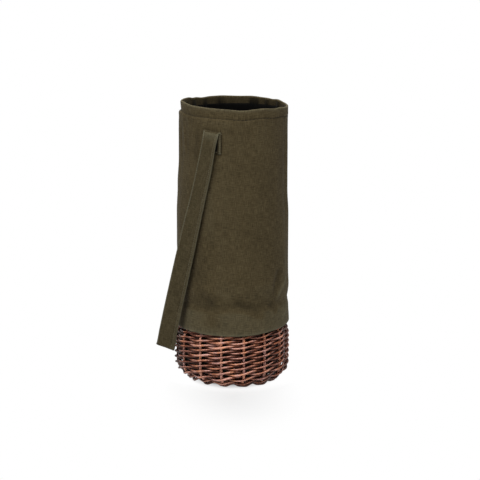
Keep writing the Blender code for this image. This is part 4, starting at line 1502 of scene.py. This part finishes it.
def woven_cloth_group():
    """Plain weave: crossing threads of uneven thickness, slubs along both ways and slow changes of shade."""
    group, given = new_group(
        "woven_cloth",
        ["Cloth"],
        ["Colour", "Dark colour", "Light colour"],
        ["Thread pitch", "Slub share", "Cloud share", "Tone"],
    )
    cloth = given["Cloth"]
    parts = add_node(group, "ShaderNodeSeparateXYZ", {0: cloth}).outputs
    rate = sums(group, "DIVIDE", math.pi, given["Thread pitch"])
    warp = sums(group, "SINE", sums(group, "MULTIPLY", parts[0], rate))
    weft = sums(group, "SINE", sums(group, "MULTIPLY", parts[1], rate))
    over = ramped(group, sums(group, "MULTIPLY", warp, weft), -1.0, 1.0)
    warp_height = sums(group, "MULTIPLY", sums(group, "ABSOLUTE", warp), over)
    weft_height = sums(group, "MULTIPLY", sums(group, "ABSOLUTE", weft), sums(group, "SUBTRACT", 1.0, over))
    weave = sums(group, "ADD", warp_height, weft_height)
    warp_slub = streaks(group, cloth, (1400.0, 110.0, 1.0), detail=2.0, roughness=0.6)
    weft_slub = streaks(group, cloth, (110.0, 1400.0, 1.0), detail=2.0, roughness=0.6)
    slub = ramped(group, sums(group, "ADD", warp_slub, weft_slub), 0.62, 1.38)
    cloud = ramped(group, noise(group, cloth, 26.0, detail=4.0, roughness=0.55), 0.3, 0.7)
    fleck = ramped(group, noise(group, cloth, 900.0, detail=2.0, roughness=0.7), 0.35, 0.65)
    weights = [(slub, 0.5, given["Slub share"]), (cloud, 0.5, given["Cloud share"])]
    weights += [(weave, 0.45, 0.35), (fleck, 0.5, 0.45)]
    shade = varied(group, 0.0, weights)
    darker = blended(group, ramped(group, shade, 0.0, -0.6), given["Colour"], given["Dark colour"])
    lighter = blended(group, ramped(group, shade, 0.0, 0.6), darker, given["Light colour"])
    toned = dimmed(group, lighter, sums(group, "MULTIPLY", given["Tone"], 2.0, clamp=True))
    # Above the plain tone the colour pales and turns greener: painted light where the tones paint light,
    # faded dye where they mark wear
    paled_by_light_and_wear = dimmed(group, (1.0, 1.08, 0.8), ramped(group, given["Tone"], 0.5, 1.0, 0.0, 0.08))
    height = sums(group, "ADD", sums(group, "MULTIPLY", weave, 0.7), sums(group, "MULTIPLY", slub, 0.5))
    roughness = ramped(group, slub, 0.0, 1.0, 0.95, 0.82)
    return put_out(group, vector_sum(group, "ADD", toned, paled_by_light_and_wear)[0], height, roughness)


def stained_rod_group():
    """Stained willow: long streaks of grain, a tone for each rod and patches where the stain lies thick."""
    group, given = new_group(
        "stained_rod",
        ["Rod", "Place"],
        ["Dark colour", "Middle colour", "Light colour"],
        ["Tone"],
    )
    spot = given["Place"]
    streak = streaks(group, given["Rod"], (90.0, 1500.0, 1.0), detail=3.0, roughness=0.6, distortion=0.4)
    patch = noise(group, spot, 95.0, detail=3.0, roughness=0.55)
    speck = noise(group, spot, 520.0, detail=2.0, roughness=0.6)
    tone = varied(group, given["Tone"], [(streak, 0.5, 1.7), (patch, 0.5, 1.3), (speck, 0.5, 0.5)])
    darker = blended(group, ramped(group, tone, 0.0, 0.5), given["Dark colour"], given["Middle colour"])
    lighter = blended(group, ramped(group, tone, 0.5, 1.05), darker, given["Light colour"])
    hue = ramped(group, noise(group, spot, 110.0, detail=2.0, roughness=0.5), 0.36, 0.64)
    tint = blended(group, hue, (1.03, 0.9, 0.68, 1), (0.97, 1.1, 1.36, 1))
    height = sums(group, "ADD", streak, sums(group, "MULTIPLY", speck, 0.3))
    roughness = ramped(group, patch, 0.3, 0.7, 0.54, 0.38)
    return put_out(group, vector_sum(group, "MULTIPLY", lighter, tint)[0], height, roughness)


def new_material(name, **sockets):
    material = bpy.data.materials.new(name)
    material.use_nodes = True
    shader = material.node_tree.nodes["Principled BSDF"]
    for socket, value in sockets.items():
        shader.inputs[socket.replace("_", " ")].default_value = value
    return material, material.node_tree, shader


def bumped(tree, shader, height, depth, strength):
    bump = add_node(tree, "ShaderNodeBump", {"Height": height, "Distance": depth, "Strength": strength})
    tree.links.new(bump.outputs["Normal"], shader.inputs["Normal"])


def textured(tree, shader, group, inputs, depth, strength):
    """Gives the shader a group's colour and roughness, and its height as a bump."""
    made = add_node(tree, "ShaderNodeGroup", inputs, node_tree=group).outputs
    tree.links.new(made["Colour"], shader.inputs["Base Color"])
    tree.links.new(made["Roughness"], shader.inputs["Roughness"])
    bumped(tree, shader, made["Height"], depth, strength)


def along_cloth(tree):
    return add_node(tree, "ShaderNodeUVMap", uv_map="cloth").outputs["UV"]


def piece_tone(tree):
    return add_node(tree, "ShaderNodeAttribute", attribute_name="tone").outputs["Fac"]


def cloth_material(name, group, colour, dark, light, pitch, slub, cloud, depth, **sockets):
    """A cloth of the shared weave; depth is how far its threads stand up."""
    material, tree, shader = new_material(name, **sockets)
    inputs = {
        "Cloth": along_cloth(tree),
        "Tone": piece_tone(tree),
        "Colour": (*colour, 1),
        "Dark colour": (*dark, 1),
        "Light colour": (*light, 1),
        "Thread pitch": pitch,
        "Slub share": slub,
        "Cloud share": cloud,
    }
    textured(tree, shader, group, inputs, depth, 0.6)
    return material


def canvas_material(group):
    return cloth_material(
        "olive_canvas",
        group,
        colour=(0.0575, 0.0430, 0.0200),
        dark=(0.034, 0.025, 0.0115),
        light=(0.086, 0.066, 0.033),
        pitch=0.55 * MM,
        slub=2.1,
        cloud=0.3,
        depth=0.12 * MM,
        Specular_IOR_Level=0.08,
        Sheen_Weight=0.02,
        Sheen_Roughness=0.5,
    )


def strap_material(group):
    return cloth_material(
        "olive_strap",
        group,
        colour=(0.0525, 0.0412, 0.0198),
        dark=(0.032, 0.0245, 0.0115),
        light=(0.081, 0.064, 0.034),
        pitch=0.6 * MM,
        slub=2.0,
        cloud=0.35,
        depth=0.14 * MM,
        Specular_IOR_Level=0.08,
        Sheen_Weight=0.02,
        Sheen_Roughness=0.5,
    )


def lining_material(group):
    return cloth_material(
        "black_lining",
        group,
        colour=(0.0055, 0.0050, 0.0045),
        dark=(0.0035, 0.0032, 0.003),
        light=(0.010, 0.0092, 0.0085),
        pitch=0.4 * MM,
        slub=0.6,
        cloud=0.4,
        depth=0.05 * MM,
        Specular_IOR_Level=0.04,
    )


def thread_material(group, name, colour, dark, light):
    return cloth_material(
        name,
        group,
        colour,
        dark,
        light,
        pitch=0.3 * MM,
        slub=0.6,
        cloud=0.3,
        depth=0.05 * MM,
        Specular_IOR_Level=0.2,
    )


def olive_thread(group):
    shades = (0.009, 0.0065, 0.0035), (0.006, 0.0042, 0.002), (0.015, 0.0115, 0.006)
    return thread_material(group, "olive_thread", *shades)


def pale_thread(group):
    shades = (0.125, 0.108, 0.068), (0.08, 0.068, 0.042), (0.17, 0.148, 0.098)
    return thread_material(group, "pale_thread", *shades)


def willow_material(group):
    material, tree, shader = new_material("stained_willow", Specular_IOR_Level=0.2, Coat_Roughness=0.14)
    inputs = {
        "Rod": along_cloth(tree),
        "Place": add_node(tree, "ShaderNodeTexCoord").outputs["Object"],
        "Tone": piece_tone(tree),
        "Dark colour": (0.03, 0.0075, 0.0035, 1),
        "Middle colour": (0.142, 0.034, 0.013, 1),
        "Light colour": (0.68, 0.335, 0.235, 1),
    }
    textured(tree, shader, group, inputs, 0.25 * MM, 0.5)
    # The fine fuzz on a rod dulls its shine where it turns away
    away = add_node(tree, "ShaderNodeLayerWeight", {"Blend": 0.5})
    tree.links.new(ramped(tree, away.outputs["Facing"], 0.4, 0.9, 0.13, 0.0), shader.inputs["Coat Weight"])
    return material


def foam_material():
    material, tree, shader = new_material("white_foam", Roughness=0.95)
    spot = add_node(tree, "ShaderNodeTexCoord").outputs["Object"]
    cells = noise(tree, spot, 1400.0, detail=2.0, roughness=0.6)
    colour = blended(tree, cells, (0.66, 0.66, 0.63, 1), (0.8, 0.8, 0.78, 1))
    tree.links.new(colour, shader.inputs["Base Color"])
    bumped(tree, shader, cells, 0.2 * MM, 0.6)
    return material


# Stage


def seen_directly(tree):
    """1 for the camera, mirrors and clear things; 0 for the light that falls on the basket."""
    rays = add_node(tree, "ShaderNodeLightPath").outputs
    seen = sums(tree, "MAXIMUM", rays["Is Camera Ray"], rays["Is Glossy Ray"])
    return sums(tree, "MAXIMUM", seen, rays["Is Transmission Ray"])


def floor_light(tree):
    """How much of the floor's glow shows: a painted shadow lowers it in front of the basket, a painted
    lighter ring raises it round the foot, and none shows where the basket stands.
    """
    spot = add_node(tree, "ShaderNodeTexCoord").outputs["Object"]
    ahead = vector_sum(tree, "DOT_PRODUCT", spot, (*VIEW_TOWARD, 0))["Value"]
    aside = vector_sum(tree, "DOT_PRODUCT", spot, (*VIEW_RIGHT, 0))["Value"]
    ahead = sums(tree, "POWER", sums(tree, "ABSOLUTE", sums(tree, "SUBTRACT", ahead, SHADOW_REACH)), 2.0)
    aside = sums(tree, "POWER", sums(tree, "ABSOLUTE", sums(tree, "MULTIPLY", aside, SHADOW_NARROWING)), 2.0)
    gap = sums(tree, "SQRT", sums(tree, "ADD", ahead, aside))
    light = ramped(tree, gap, 0.0, SHADOW_FADE, SHADOW_DEPTH, 1.0)
    middle_gap = vector_sum(tree, "LENGTH", spot)["Value"]
    # Painted lighter ring round the basket's foot
    ring = ramped(tree, middle_gap, *CONTACT_RING_RISE, 0.0, CONTACT_LIGHT)
    ring = sums(tree, "MULTIPLY", ring, ramped(tree, middle_gap, *CONTACT_RING_FALL, 1.0, 0.0))
    light = sums(tree, "ADD", light, ring, clamp=True)
    return sums(tree, "MULTIPLY", light, ramped(tree, middle_gap, CONTACT_START, CONTACT_END))


def floor():
    """A plain white floor that keeps a faint shadow, partly cast by the lamps and partly painted."""
    mesh = bpy.data.meshes.new("floor")
    half = FLOOR_SIZE / 2
    corners = [(-half, -half, 0), (half, -half, 0), (half, half, 0), (-half, half, 0)]
    mesh.from_pydata(corners, [], [(0, 1, 2, 3)])
    in_scene("floor", mesh)
    material = bpy.data.materials.new("floor_paper")
    material.use_nodes = True
    tree = material.node_tree
    tree.nodes.clear()
    share = sums(tree, "MULTIPLY", seen_directly(tree), floor_light(tree))
    paper = add_node(tree, "ShaderNodeBsdfDiffuse", {"Color": (FLOOR_GREY, FLOOR_GREY, FLOOR_GREY, 1)})
    glow = add_node(tree, "ShaderNodeEmission", {"Color": WHITE, "Strength": 1.0})
    mixed = add_node(tree, "ShaderNodeMixShader", {0: share, 1: paper.outputs[0], 2: glow.outputs[0]})
    add_node(tree, "ShaderNodeOutputMaterial", {"Surface": mixed.outputs[0]})
    mesh.materials.append(material)


def backdrop():
    """The world is white to the camera and to reflections, and dim as a light."""
    world = bpy.data.worlds.new("studio")
    bpy.context.scene.world = world
    world.use_nodes = True
    tree = world.node_tree
    tree.nodes.clear()
    plain = add_node(tree, "ShaderNodeBackground", {"Color": WHITE, "Strength": WORLD_LIGHT})
    white = add_node(tree, "ShaderNodeBackground", {"Color": WHITE, "Strength": 1.0})
    seen = seen_directly(tree)
    mixed = add_node(tree, "ShaderNodeMixShader", {0: seen, 1: plain.outputs[0], 2: white.outputs[0]})
    add_node(tree, "ShaderNodeOutputWorld", {"Surface": mixed.outputs[0]})


def lamps():
    """Square lamps round the basket, aimed at it."""
    for name, (azimuth_deg, distance, height, size, power) in LAMPS.items():
        azimuth = math.radians(azimuth_deg)
        lamp = bpy.data.lights.new(name, "AREA")
        lamp.shape = "SQUARE"
        lamp.size = size
        lamp.energy = power
        item = in_scene(name, lamp)
        item.location = (math.sin(azimuth) * distance, -math.cos(azimuth) * distance, height)
        item.rotation_mode = "QUATERNION"
        item.rotation_quaternion = (Vector(LAMP_TARGET) - item.location).to_track_quat("-Z", "Y")


def camera():
    data = bpy.data.cameras.new("camera")
    data.lens = CAMERA_LENS
    data.sensor_width = CAMERA_SENSOR
    data.clip_end = CAMERA_CLIP_END
    item = in_scene("camera", data)
    x, y = (CAMERA_DISTANCE * a + CAMERA_SIDEWAYS * b for a, b in zip(VIEW_TOWARD, VIEW_RIGHT))
    item.location = (x, y, CAMERA_HEIGHT)
    item.rotation_euler = (math.pi / 2 + CAMERA_PITCH, 0, VIEW_AZIMUTH)
    bpy.context.scene.camera = item


def main():
    bpy.context.scene.view_settings.view_transform = "Standard"
    weave = woven_cloth_group()
    willow = willow_material(stained_rod_group())
    canvas = canvas_material(weave)
    strap = strap_material(weave)
    lining = lining_material(weave)
    thread = olive_thread(weave)
    strap_thread = pale_thread(weave)
    foam = foam_material()
    willow_wall(willow)
    willow_stakes(willow)
    base_sticks(willow)
    base_weaver(willow)
    padding_wall("padding_upper_wall", "upper_foam", UPPER_FOAM_THICKNESS, foam)
    padding_wall("padding_lower_wall", "lower_foam", LOWER_FOAM_THICKNESS, foam)
    padding_disc(foam)
    lining_wall(lining)
    lining_floor(lining)
    liner_sleeve(lining)
    canvas_cover(canvas)
    hem_stitching(thread)
    seam_stitching(thread)
    strap_loop(strap, strap_thread)
    for name, side in (("left", -1), ("right", 1)):
        strap_patch(name, side, strap, strap_thread)
        strap_fold(name, side, strap)
    floor()
    backdrop()
    lamps()
    camera()


main()
